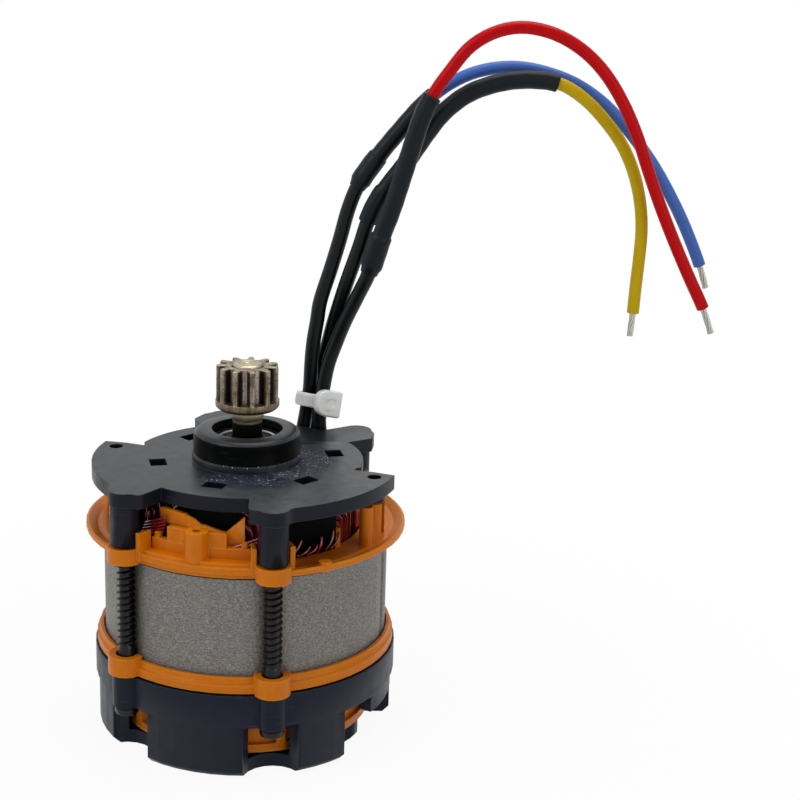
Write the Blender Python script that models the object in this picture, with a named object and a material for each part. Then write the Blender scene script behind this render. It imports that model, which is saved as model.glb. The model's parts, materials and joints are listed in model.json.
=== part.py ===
# Brushless motor of a cordless tool, standing on its rear housing with the shaft up.
# +Z runs up along the shaft. The origin is the centre of the rear face, and the front
# posts face -Y. Angles round the shaft start at -Y and grow towards +X. Sizes are in
# millimetres, and each piece is scaled to metres once its shape is complete.
import math

import bmesh
import bpy
from mathutils import Matrix, Vector
from mathutils.geometry import delaunay_2d_cdt

MM = 0.001                # a millimetre in metres
FIT = 0.3            # clearance between pieces that touch
CUT = 1.0            # how far a cutter runs past the wall that it cuts
LAP = 0.5            # how far two shapes of one moulding run into each other

# Stator stack
STACK_R = 24.0
STACK_YOKE_WALL = 4.2
STACK_SEAT = 1.9     # the stack stands this far above the rear housing
STACK_HEIGHT = 17.5
TOOTH_COUNT = 6
TOOTH_HALF_WIDTH = 3.3
TOOTH_TIP_DEPTH = 1.4
TOOTH_TIP_HALF_ANGLE = 24.5
BORE_R = 12.5
WELD_GROOVE_WIDTH = 1.2
WELD_GROOVE_DEPTH = 0.7
WELD_GROOVE_ANGLES = (92.0, 272.0)

# Through screws
SCREW_ANGLES = (30.0, 150.0, 210.0, 330.0)
SCREW_OFFSET = 1.3   # from the stack's edge out to the screws' centres
SCREW_R = 1.5
SCREW_HEAD_R = 2.05
SCREW_HEAD_HEIGHT = 1.2
SCREW_RECESS_R = 0.9
SCREW_RECESS_DEPTH = 0.7
SCREW_BITE = 5.6     # length of thread inside a post

# Rear housing
HOUSING_OVERHANG = 0.3    # past the insulator ring that stands on it
HOUSING_SKIRT_STEP = 0.5
HOUSING_WALL = 2.4
HOUSING_HEIGHT = 14.9
HOUSING_BAND_HEIGHT = 5.9     # the band above the windows
FLOOR_INSET = 4.7
FLOOR_HEIGHT = 2.3
FOOT_CHAMFER = 1.1
SCREW_BOSS_R = 2.35
SCREW_BOSS_LENGTH = 5.6
WINDOW_R = 4.9
WINDOW_OFFSET = 0.7
OUTLET_START = 61.0
OUTLET_STEP = 77.0
OUTLET_END = 108.0
OUTLET_BLOCK_DROP = 2.8
FLOOR_NOTCH_START = 86.0
FLOOR_NOTCH_DEPTH = 3.4
SEAT_WALL = 2.0
SEAT_FLOOR = 1.2

# Rear insulator
RING_WALL = 1.1
RING_LIP_STEP = 0.45
RING_LIP_WIDTH = 0.6
RING_SIDE_HEIGHT = 1.3
RING_LIP_HEIGHT = 2.6
LUG_R = 3.0
LUG_HEIGHT = 3.2
SKIRT_OFFSET = 0.8   # outside the slots of the stack
SKIRT_WALL = 0.95
SKIRT_BOTTOM_Z = 2.8
RIM_STEP = 0.9
RIM_HEIGHT = 1.4
RIB_WIDTH = 1.5
RIB_ANGLES = (36.0, 144.0, 216.0, 324.0)
SKIRT_VENT_START = 87.0
SKIRT_VENT_END = 113.0
REAR_ARM_HEIGHT = 1.6
REAR_TIP_LENGTH = 6.1
TIP_WALL = 1.0

# Front insulator
FLANGE_HEIGHT = 1.2
LIP_OVERHANG = 2.95
LIP_UNDER_OVERHANG = 1.6
LIP_RISE = 0.5
LIP_START = 34.0
BAND_OVERHANG = 0.85
BAND_WALL = 3.55
BAND_STEP = 0.55
BAND_FOOT_HEIGHT = 0.8
BAND_HEIGHT = 2.4
WALL_INSET = 1.5
WALL_THICKNESS = 1.2
LOW_WALL_HEIGHT = 1.9
LOW_WALL_HALF_ANGLE = 22.0
HIGH_WALL_HEIGHT = 4.3
HIGH_WALL_START = -14.0
HIGH_WALL_END = 12.0
TOOTH_NUB_WIDTH = 0.9
TOOTH_NUB_HEIGHT = 0.9
TOOTH_NUB_ANGLE = 19.5
CENTRE_BOSS_R = 1.9
CENTRE_BOSS_OFFSET = 0.2
CENTRE_HOLE_R = 0.75
COLLAR_R = 2.9
COLLAR_HEIGHT = 2.6
CHEEK_THICKNESS = 0.8
CHEEK_LENGTH = 2.6
CHEEK_HEIGHT = 2.8
EDGE_NUB_ANGLE = 49.0
EDGE_NUB_R = 1.0
TOWER_ANGLE = 85.0
TOWER_INSET = 0.9
TOWER_R = 1.9
TOWER_HOLLOW_R = 1.0
TOWER_PILLAR_R = 1.15
TOWER_PILLAR_ANGLE = 78.0
FRONT_ARM_HEIGHT = 4.3
FRONT_TIP_HEIGHT = 8.4
GUARD_OFFSET = 1.1
GUARD_WALL = 0.9
GUARD_HEIGHT = 8.9
GUARD_SHOULDER_DROP = 0.2     # the top edge falls from its shoulder to its lowest point
GUARD_MIDDLE_DROP = 1.7
GUARD_LOWEST_DROP = 2.6
GUARD_START = -21.0
GUARD_SHOULDER = -8.0
GUARD_MIDDLE = 0.5
GUARD_LOWEST = 11.0
GUARD_END = 19.5
LEAD_NOTCH_HALF_ANGLE = 11.0
LEAD_NOTCH_ANGLE = 170.0

# Front plate
POST_R = 2.4
POST_LENGTH = 6.8
PLATE_HEIGHT = 2.4
PLATE_FRONT_INSET = 4.8   # these three are measured from the screws' circle
PLATE_SIDE_OFFSET = 0.6
PLATE_WAIST_INSET = 5.7
PLATE_LOBE_R = 2.6
PLATE_FRONT_HALF_ANGLE = 21.5
PLATE_LUG_ANGLE = 90.0
PLATE_WAIST_NOTCH_DEPTH = 0.7
PLATE_WAIST_NOTCH_ANGLE = 3.5
PLATE_EDGE_STEP = 0.5
PLATE_LUG_DEPTH = 2.6
PLATE_LOBE_GAP = 1.5
PLATE_FRONT_LOBE_IN = 0.7
PLATE_FRONT_LOBE_OUT = 0.3
PLATE_FRONT_LOBE_LEAD = 3.2
PLATE_FRONT_LOBE_TAPER = 0.4
PLATE_FRONT_LOBE_SWEEP = (-70.0, 70.0)
PLATE_REAR_LOBE_IN = 0.9
PLATE_REAR_LOBE_OUT = 1.2
PLATE_REAR_LOBE_TAPER = 5.5
PLATE_REAR_LOBE_SWEEP = (-50.0, 70.0)
PLATE_LOBE_START = 137.0
PLATE_REAR_HALF_ANGLE = 20.0
SQUARE_INSET = 5.5
SQUARE_LENGTH = 2.8
SQUARE_WIDTH = 3.6
PEG_HOLE_R = 1.2
PEG_LUG_HEIGHT = 1.5
BOSS_R = 9.0
BOSS_HEIGHT = 5.3
BOSS_FILLET = 1.3
BOSS_FOOT_STEP = 0.25
BOSS_FOOT_HEIGHT = 1.3
BOSS_BORE_R = 5.97
BOSS_LIP = 1.2

# Bearings
BEARING_R = 6.5
BEARING_HEIGHT = 4.0
BEARING_OUTER_WALL = 1.1
BEARING_INNER_WALL = 0.9
SHIELD_INSET = 0.2
WASHER_WAVES = 3
WASHER_AMPLITUDE = 0.2
WASHER_THICKNESS = 0.3
WASHER_WIDTH = 1.3

# Rotor
SHAFT_R = 2.5
SHAFT_CHAMFER = 0.35
SHAFT_PROUD = 0.3    # the shaft stands above the pinion by this
AIR_GAP = 0.5
MAGNET_COUNT = 4
MAGNET_WIDTH = 11.0
MAGNET_THICKNESS = 2.2
MAGNET_INSET = 3.6
END_DISC_INSET = 0.6
END_DISC_HEIGHT = 2.6
FAN_CLEARANCE = 2.85      # inside the rear insulator's skirt
FAN_DROP = 8.4       # from the stack down to the disc of the fan
FAN_DISC_HEIGHT = 0.9
FAN_HUB_R = 5.2
FAN_BLADE_LENGTH = 6.6
FAN_BLADE_TIP_GAP = 0.3
FAN_FLOOR_CLEARANCE = 1.2
FAN_BLADE_THICKNESS = 0.9
FAN_BLADE_SWEEP = 24.0
FAN_BLADE_COUNT = 9

# Pinion
PINION_TEETH = 11
PINION_TIP_R = 5.2
PINION_ROOT_R = 3.55
PINION_PITCH_R = 4.4
PINION_TIP_FILL = 0.26    # share of the tooth pitch that the tooth takes at its tip
PINION_PITCH_FILL = 0.44
PINION_ROOT_FILL = 0.66
PINION_TURN = 29.4        # the angle of one tooth
PINION_LENGTH = 5.9
PINION_RISE = 3.5    # clear height between the bearing boss and the pinion
FLANGE_R = 5.35
PINION_FLANGE_HEIGHT = 1.6
PINION_FLANGE_ROUND = 0.9
PINION_BORE_CHAMFER = 0.35

# Coils
COIL_TIP_CLEARANCE = 0.4
COIL_YOKE_CLEARANCE = 0.5
COIL_BOW = 0.15           # how far the middle of the winding stands out
COIL_SLOT_GAP = 0.35      # from the middle of the slot at the bore end
COIL_SLOT_GAP_GROWTH = 0.3    # more gap at the yoke end
COIL_END = 4.6       # build-up above and below the tooth
COIL_BEND_R = 1.6

# Leads
LEAD_TURN = 20.0          # the leads' plane is turned by this about the shaft
LEAD_R = 1.3
SLEEVE_R = 1.6
SPLICE_R = 1.75
WIRE_R = 1.1
TINNED_R = 0.55
LEAD_STEP = 7.5
LEAD_END_STEP = 0.8       # the first and last steps, which square the ends
TIE_CENTRE = (0.2, -0.4, 13.85)
TIE_INNER_R = 4.3
TIE_SQUEEZE = 0.74        # the loop is this much narrower across than it is deep
TIE_BAND = 0.7
TIE_WIDTH = 2.4
TIE_HEAD = (4.0, 2.9, 4.7)
TIE_HEAD_ANGLE = 18.0     # where on the loop the head sits
TIE_HEAD_TURN = 9.0       # how far its face is turned back from there
TIE_TILT = 9.0
TIE_FRONT_LIFT = 14.0

# Values that follow from the ones above
STACK_BOTTOM_Z = HOUSING_HEIGHT + STACK_SEAT
STACK_TOP_Z = STACK_BOTTOM_Z + STACK_HEIGHT
STACK_YOKE_R = STACK_R - STACK_YOKE_WALL
TOOTH_TIP_R = BORE_R + TOOTH_TIP_DEPTH
SCREW_CIRCLE_R = STACK_R + SCREW_OFFSET
RING_INNER_R = STACK_R + FIT
RING_R = RING_INNER_R + RING_WALL
RING_LIP_R = RING_R - RING_LIP_STEP
HOUSING_R = RING_R + HOUSING_OVERHANG
HOUSING_SKIRT_R = HOUSING_R - HOUSING_SKIRT_STEP
HOUSING_BAND_Z = HOUSING_HEIGHT - HOUSING_BAND_HEIGHT
SCREW_BOSS_BOTTOM_Z = HOUSING_HEIGHT - SCREW_BOSS_LENGTH
OUTLET_BLOCK_Z = HOUSING_BAND_Z - OUTLET_BLOCK_DROP
WINDOW_CIRCLE_R = SCREW_CIRCLE_R + WINDOW_OFFSET
FLOOR_R = HOUSING_R - FLOOR_INSET
FLOOR_NOTCH_R = FLOOR_R - FLOOR_NOTCH_DEPTH
SKIRT_R = STACK_YOKE_R + SKIRT_OFFSET
SKIRT_INNER_R = SKIRT_R - SKIRT_WALL
RIM_R = SKIRT_R + RIM_STEP
LIP_R = STACK_R + LIP_OVERHANG
LIP_UNDER_R = STACK_R + LIP_UNDER_OVERHANG
BAND_R = STACK_R + BAND_OVERHANG
WALL_OUTER_R = STACK_R - WALL_INSET
CENTRE_BOSS_CIRCLE_R = WALL_OUTER_R + CENTRE_BOSS_OFFSET
TOWER_CIRCLE_R = STACK_R - TOWER_INSET
GUARD_R = STACK_YOKE_R + GUARD_OFFSET
PLATE_FRONT_R = SCREW_CIRCLE_R - PLATE_FRONT_INSET
PLATE_SIDE_R = SCREW_CIRCLE_R + PLATE_SIDE_OFFSET
PLATE_WAIST_R = SCREW_CIRCLE_R - PLATE_WAIST_INSET
PLATE_WAIST_NOTCH_R = PLATE_WAIST_R - PLATE_WAIST_NOTCH_DEPTH
SQUARE_CIRCLE_R = PLATE_FRONT_R - SQUARE_INSET
FAN_R = SKIRT_INNER_R - FAN_CLEARANCE
FAN_DISC_BOTTOM_Z = STACK_BOTTOM_Z - FAN_DROP
COIL_INNER_R = TOOTH_TIP_R + COIL_TIP_CLEARANCE
COIL_DEPTH = STACK_YOKE_R - COIL_YOKE_CLEARANCE - COIL_INNER_R
FLANGE_BOTTOM_Z = STACK_TOP_Z + FIT
RING_BOTTOM_Z = HOUSING_HEIGHT + FIT
RING_LEDGE_Z = STACK_BOTTOM_Z - FIT
SCREW_HOLE_R = SCREW_R + FIT
COLLAR_TOP_Z = FLANGE_BOTTOM_Z + COLLAR_HEIGHT
POST_BOTTOM_Z = COLLAR_TOP_Z + FIT
PLATE_BOTTOM_Z = POST_BOTTOM_Z + POST_LENGTH
PLATE_TOP_Z = PLATE_BOTTOM_Z + PLATE_HEIGHT
BOSS_TOP_Z = PLATE_TOP_Z + BOSS_HEIGHT
BEARING_POCKET_R = BEARING_R + FIT
FRONT_POCKET_TOP_Z = BOSS_TOP_Z - BOSS_LIP
FRONT_BEARING_Z = FRONT_POCKET_TOP_Z - FIT - BEARING_HEIGHT
WASHER_SPACE = WASHER_THICKNESS + 2 * WASHER_AMPLITUDE
WASHER_Z = SEAT_FLOOR + FIT + WASHER_SPACE / 2
REAR_BEARING_Z = SEAT_FLOOR + 2 * FIT + WASHER_SPACE
SEAT_TOP_Z = REAR_BEARING_Z + BEARING_HEIGHT - FIT
SHAFT_BOTTOM_Z = REAR_BEARING_Z
SHAFT_BORE_R = SHAFT_R + FIT
PINION_BOTTOM_Z = BOSS_TOP_Z + PINION_RISE
PINION_TEETH_Z = PINION_BOTTOM_Z + PINION_FLANGE_HEIGHT
PINION_TOP_Z = PINION_TEETH_Z + PINION_LENGTH
SHAFT_TOP_Z = PINION_TOP_Z + SHAFT_PROUD
ROTOR_R = BORE_R - AIR_GAP
END_DISC_R = ROTOR_R - END_DISC_INSET
MAGNET_CIRCLE_R = ROTOR_R - MAGNET_INSET
FRONT_ARM_Z = FLANGE_BOTTOM_Z + FRONT_ARM_HEIGHT
REAR_ARM_Z = RING_LEDGE_Z - REAR_ARM_HEIGHT
REAR_TIP_BOTTOM_Z = RING_LEDGE_Z - REAR_TIP_LENGTH
PEG_LUG_BOTTOM_Z = PLATE_BOTTOM_Z - PEG_LUG_HEIGHT
LEDGE_Z = FLANGE_BOTTOM_Z + BAND_HEIGHT


def polar(radius, angle, z=0.0):
    turn = math.radians(angle)
    return Vector((radius * math.sin(turn), -radius * math.cos(turn), z))


def arc(radius, start, end, step=6.0):
    count = max(1, math.ceil(abs(end - start) / step))
    return [polar(radius, start + (end - start) * i / count) for i in range(count + 1)]


def circle(radius, count=24, centre=(0.0, 0.0), turn=0.0):
    points = []
    for i in range(count):
        a = turn + 2 * math.pi * i / count
        points.append(Vector((centre[0] + radius * math.cos(a), centre[1] + radius * math.sin(a), 0)))
    return points


def material(name, colour, roughness, metallic=0.0):
    mat = bpy.data.materials.new(name)
    mat.use_nodes = True
    shader = mat.node_tree.nodes["Principled BSDF"]
    shader.inputs["Base Color"].default_value = (*colour, 1.0)
    shader.inputs["Roughness"].default_value = roughness
    shader.inputs["Metallic"].default_value = metallic
    return mat


def place(name, bm):
    mesh = bpy.data.meshes.new(name)
    bm.to_mesh(mesh)
    bm.free()
    obj = bpy.data.objects.new(name, mesh)
    bpy.context.collection.objects.link(obj)
    return obj


def finish(name, bm, mat, sharp=32.0):
    """The piece's own object, in metres and shaded."""
    bmesh.ops.scale(bm, vec=(MM, MM, MM), verts=bm.verts)
    obj = place(name, bm)
    obj.data.shade_smooth()
    obj.data.set_sharp_from_angle(angle=math.radians(sharp))
    obj.data.materials.append(mat)
    return obj


def holds(loop, point):
    """Whether the closed loop goes round this point."""
    inside = False
    for a, b in zip(loop, [*loop[1:], loop[0]]):
        if (a[1] > point[1]) != (b[1] > point[1]):
            crossing = a[0] + (point[1] - a[1]) * (b[0] - a[0]) / (b[1] - a[1])
            inside ^= crossing > point[0]
    return inside


def prism(outline, bottom, top, holes=()):
    """A flat plate with this outline and these holes."""
    corners, edges = [], []
    for loop in (outline, *holes):
        first, count = len(corners), len(loop)
        corners += [Vector((p[0], p[1])) for p in loop]
        edges += [(first + i, first + (i + 1) % count) for i in range(count)]
    spots, _, triangles, *_ = delaunay_2d_cdt(corners, edges, [], 1, 1e-7)
    bm = bmesh.new()
    verts = [bm.verts.new((p.x, p.y, bottom)) for p in spots]
    for triangle in triangles:
        middle = sum((spots[i] for i in triangle), Vector((0, 0))) / 3
        if not any(holds(loop, middle) for loop in holes):
            bm.faces.new([verts[i] for i in triangle])
    grown = bmesh.ops.extrude_face_region(bm, geom=bm.faces[:])
    risen = [v for v in grown["geom"] if isinstance(v, bmesh.types.BMVert)]
    bmesh.ops.translate(bm, verts=risen, vec=(0, 0, top - bottom))
    bmesh.ops.recalc_face_normals(bm, faces=bm.faces)
    return bm


def turned(profile, count=48, turn=0.0):
    """A closed profile of (radius, height) points, turned about the shaft's axis."""
    bm = bmesh.new()
    rings = []
    for radius, z in profile:
        if radius < 1e-6:
            rings.append([bm.verts.new((0, 0, z))] * count)
        else:
            rings.append([bm.verts.new((p.x, p.y, z)) for p in circle(radius, count, turn=turn)])
    for k in range(len(rings)):
        low, high = rings[k - 1], rings[k]
        for i in range(count):
            corners = (low[i - 1], low[i], high[i], high[i - 1])
            face = list(dict.fromkeys(corners))
            if len(face) > 2:
                bm.faces.new(face)
    bmesh.ops.recalc_face_normals(bm, faces=bm.faces)
    return bm


def rod(radius, bottom, top, centre=(0, 0), count=16):
    return prism(circle(radius, count, centre), bottom, top)


def sector(inner, outer, start, end, bottom, top, step=7.5):
    outline = arc(outer, start, end, step) + arc(inner, end, start, step)
    return prism(outline, bottom, top)


def bar(centre_r, angle, length, width, bottom, top):
    """A block whose length runs outwards at this angle."""
    out, side = polar(1.0, angle), polar(1.0, angle + 90)
    middle = out * centre_r
    corners = ((-1, -1), (1, -1), (1, 1), (-1, 1))
    outline = [middle + out * (a * length / 2) + side * (b * width / 2) for a, b in corners]
    return prism(outline, bottom, top)


def carved(name, body, mat, add=(), cut=(), sharp=32.0):
    """A moulding: the body with shapes joined to it, then with shapes cut from it."""
    blank = place(f"{name}_blank", body)
    for operation, shapes in (("UNION", add), ("DIFFERENCE", cut)):
        if not shapes:
            continue
        group = bpy.data.collections.new(f"{name}_{operation.lower()}")
        bpy.context.scene.collection.children.link(group)
        for shape in shapes:
            tool = place(f"{name}_tool", shape)
            tool.hide_render = True
            tool.display_type = "WIRE"
            bpy.context.collection.objects.unlink(tool)
            group.objects.link(tool)
        modifier = blank.modifiers.new(group.name, "BOOLEAN")
        modifier.operation = operation
        modifier.solver = "EXACT"
        modifier.operand_type = "COLLECTION"
        modifier.collection = group
    graph = bpy.context.evaluated_depsgraph_get()
    mesh = bpy.data.meshes.new_from_object(blank.evaluated_get(graph))
    for modifier in blank.modifiers:
        for tool in list(modifier.collection.objects):
            bpy.data.objects.remove(tool)
    bpy.data.objects.remove(blank)
    bm = bmesh.new()
    bm.from_mesh(mesh)
    bmesh.ops.remove_doubles(bm, verts=bm.verts, dist=0.002)
    bmesh.ops.dissolve_limit(bm, angle_limit=math.radians(0.5), verts=bm.verts, edges=bm.edges)
    bmesh.ops.triangulate(bm, faces=bm.faces)
    return finish(name, bm, mat, sharp)


def tooth_angles():
    return [360.0 * i / TOOTH_COUNT for i in range(TOOTH_COUNT)]


def rear_housing(mat):
    inner = HOUSING_SKIRT_R - HOUSING_WALL
    seat_r = BEARING_POCKET_R + SEAT_WALL
    profile = [
        (0, 0), (HOUSING_SKIRT_R - FOOT_CHAMFER, 0), (HOUSING_SKIRT_R, FOOT_CHAMFER),
        (HOUSING_SKIRT_R, HOUSING_BAND_Z + 0.2), (HOUSING_R, HOUSING_BAND_Z + 0.7),
        (HOUSING_R, HOUSING_HEIGHT), (inner, HOUSING_HEIGHT), (inner, FLOOR_HEIGHT),
        (seat_r, FLOOR_HEIGHT), (seat_r, SEAT_TOP_Z), (BEARING_POCKET_R, SEAT_TOP_Z),
        (BEARING_POCKET_R, SEAT_FLOOR), (0, SEAT_FLOOR),
    ]
    add, cut = [], []
    for angle in SCREW_ANGLES:
        at = polar(SCREW_CIRCLE_R, angle)
        add.append(rod(SCREW_BOSS_R, SCREW_BOSS_BOTTOM_Z, HOUSING_HEIGHT, at))
        cut.append(rod(SCREW_HOLE_R, SCREW_BOSS_BOTTOM_Z - CUT, HOUSING_HEIGHT + CUT, at, 12))
        window = polar(WINDOW_CIRCLE_R, angle)
        cut.append(rod(WINDOW_R, -CUT, HOUSING_BAND_Z, window, 20))
    outer = HOUSING_R + CUT
    for side in (0.0, 180.0):
        low, step, high = side + OUTLET_START, side + OUTLET_STEP, side + OUTLET_END
        cut.append(sector(FLOOR_R, outer, low, step, -CUT, HOUSING_BAND_Z))
        cut.append(sector(FLOOR_R + 0.1, outer, step - 0.5, high, -CUT, OUTLET_BLOCK_Z))
        cut.append(sector(FLOOR_NOTCH_R, outer, side + FLOOR_NOTCH_START, high, -CUT, OUTLET_BLOCK_Z - LAP))
    return carved("rear_housing", turned(profile, 52), mat, add, cut)


def rear_insulator(mat):
    lip_inner = RING_INNER_R
    lip_top = RING_BOTTOM_Z + RING_LIP_HEIGHT
    shoulder = RING_BOTTOM_Z + RING_SIDE_HEIGHT
    skirt_inner = SKIRT_INNER_R
    profile = [
        (SKIRT_R, RING_BOTTOM_Z), (RING_R, RING_BOTTOM_Z), (RING_R, shoulder), (RING_LIP_R, shoulder + 0.15),
        (lip_inner + RING_LIP_WIDTH, lip_top), (lip_inner, lip_top), (lip_inner, RING_LEDGE_Z),
        (skirt_inner, RING_LEDGE_Z), (skirt_inner, SKIRT_BOTTOM_Z), (RIM_R, SKIRT_BOTTOM_Z),
        (RIM_R, SKIRT_BOTTOM_Z + RIM_HEIGHT), (SKIRT_R, SKIRT_BOTTOM_Z + RIM_HEIGHT),
    ]
    add, cut = [], []
    for angle in SCREW_ANGLES:
        at = polar(SCREW_CIRCLE_R, angle)
        add.append(rod(LUG_R, RING_BOTTOM_Z, RING_BOTTOM_Z + LUG_HEIGHT, at))
        cut.append(rod(SCREW_HOLE_R, RING_BOTTOM_Z - CUT, RING_BOTTOM_Z + LUG_HEIGHT + CUT, at, 12))
    cut.append(rod(lip_inner, RING_LEDGE_Z, RING_BOTTOM_Z + LUG_HEIGHT + CUT, count=52))
    for angle in RIB_ANGLES:
        length = RIM_R - SKIRT_R + LAP
        add.append(bar(SKIRT_R - LAP + length / 2, angle, length, RIB_WIDTH, SKIRT_BOTTOM_Z + LAP, RING_BOTTOM_Z + LAP))
    tip_inner = TOOTH_TIP_R - TIP_WALL
    for angle in tooth_angles():
        reach = skirt_inner + LAP - tip_inner - 0.2
        middle = tip_inner + 0.2 + reach / 2
        add.append(bar(middle, angle, reach, 2 * TOOTH_HALF_WIDTH, REAR_ARM_Z, RING_LEDGE_Z))
        half = TOOTH_TIP_HALF_ANGLE - 3.0
        low, high = angle - half, angle + half
        add.append(sector(tip_inner, TOOTH_TIP_R, low, high, REAR_TIP_BOTTOM_Z, RING_LEDGE_Z, 10.8))
    for side in (0.0, 180.0):
        low, high = side + SKIRT_VENT_START, side + SKIRT_VENT_END
        bottom = SKIRT_BOTTOM_Z + RIM_HEIGHT
        cut.append(sector(skirt_inner - CUT, RIM_R, low, high, bottom + 0.1, HOUSING_BAND_Z))
    return carved("rear_insulator", turned(profile, 52), mat, add, cut)


def stator_core(mat):
    outline = []
    grooves = sorted([(a, SCREW_HOLE_R) for a in SCREW_ANGLES] + [(a, None) for a in WELD_GROOVE_ANGLES])
    start = 0.0
    for angle, radius in grooves:
        if radius is None:
            half = math.degrees(math.asin(WELD_GROOVE_WIDTH / 2 / STACK_R))
            floor = STACK_R - WELD_GROOVE_DEPTH
            dip = [polar(STACK_R, angle - half), polar(floor, angle - half), polar(floor, angle + half)]
            dip.append(polar(STACK_R, angle + half))
        else:
            along = (STACK_R**2 + SCREW_CIRCLE_R**2 - radius**2) / (2 * STACK_R * SCREW_CIRCLE_R)
            half = math.degrees(math.acos(along))
            centre = polar(SCREW_CIRCLE_R, angle)
            edge = polar(STACK_R, angle - half) - centre
            inward = -polar(1.0, angle)
            sweep = 2 * edge.angle(inward)
            dip = [centre + Matrix.Rotation(-sweep * i / 6, 3, "Z") @ edge for i in range(7)]
        outline += arc(STACK_R, start, angle - half)[1:-1] + dip
        start = angle + half
    outline += arc(STACK_R, start, 360.0)[1:]
    bore = []
    yoke_half = math.degrees(math.asin(TOOTH_HALF_WIDTH / STACK_YOKE_R))
    shoulder = math.degrees(math.asin(TOOTH_HALF_WIDTH / TOOTH_TIP_R))
    pitch = 360.0 / TOOTH_COUNT
    for angle in tooth_angles():
        tip = TOOTH_TIP_HALF_ANGLE
        bore += arc(BORE_R, angle - tip, angle + tip, 7.0)
        bore += [polar(TOOTH_TIP_R - LAP, angle + tip), polar(TOOTH_TIP_R + LAP, angle + shoulder)]
        bore += arc(STACK_YOKE_R, angle + yoke_half, angle + pitch - yoke_half, 8.0)
        bore += [polar(TOOTH_TIP_R + LAP, angle + pitch - shoulder), polar(TOOTH_TIP_R - LAP, angle + pitch - tip)]
    return finish("stator_core", prism(outline, STACK_BOTTOM_Z, STACK_TOP_Z, [bore]), mat, 20.0)


def part_turned(profile, start, end, step=7.0):
    """A closed profile of (radius, height) points, turned from one angle to another."""
    bm = bmesh.new()
    count = math.ceil((end - start) / step)
    sections = []
    for i in range(count + 1):
        angle = start + (end - start) * i / count
        sections.append([bm.verts.new(polar(radius, angle, z)) for radius, z in profile])
    for low, high in zip(sections, sections[1:]):
        for i in range(len(profile)):
            bm.faces.new((low[i - 1], low[i], high[i], high[i - 1]))
    bm.faces.new(sections[0])
    bm.faces.new(sections[-1])
    bmesh.ops.recalc_face_normals(bm, faces=bm.faces)
    return bm


def guard(side, bottom, top):
    """The thin wall that keeps the winding off the plate, with a dip in its top edge."""
    edge = (
        (GUARD_START, top), (GUARD_SHOULDER, top - GUARD_SHOULDER_DROP),
        (GUARD_MIDDLE, top - GUARD_MIDDLE_DROP), (GUARD_LOWEST, top - GUARD_LOWEST_DROP), (GUARD_END, top),
    )
    inner = GUARD_R - GUARD_WALL
    bm = bmesh.new()
    sections = []
    for (start, start_z), (end, end_z) in zip(edge, edge[1:]):
        steps = max(1, round((end - start) / 5.0))
        for i in range(steps + (end == GUARD_END)):
            share = i / steps
            angle, z = side + start + (end - start) * share, start_z + (end_z - start_z) * share
            corners = ((GUARD_R, bottom), (GUARD_R, z), (inner, z), (inner, bottom))
            sections.append([bm.verts.new(polar(radius, angle, level)) for radius, level in corners])
    for low, high in zip(sections, sections[1:]):
        for i in range(4):
            bm.faces.new((low[i - 1], low[i], high[i], high[i - 1]))
    bm.faces.new(sections[0])
    bm.faces.new(sections[-1])
    bmesh.ops.recalc_face_normals(bm, faces=bm.faces)
    return bm


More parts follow.
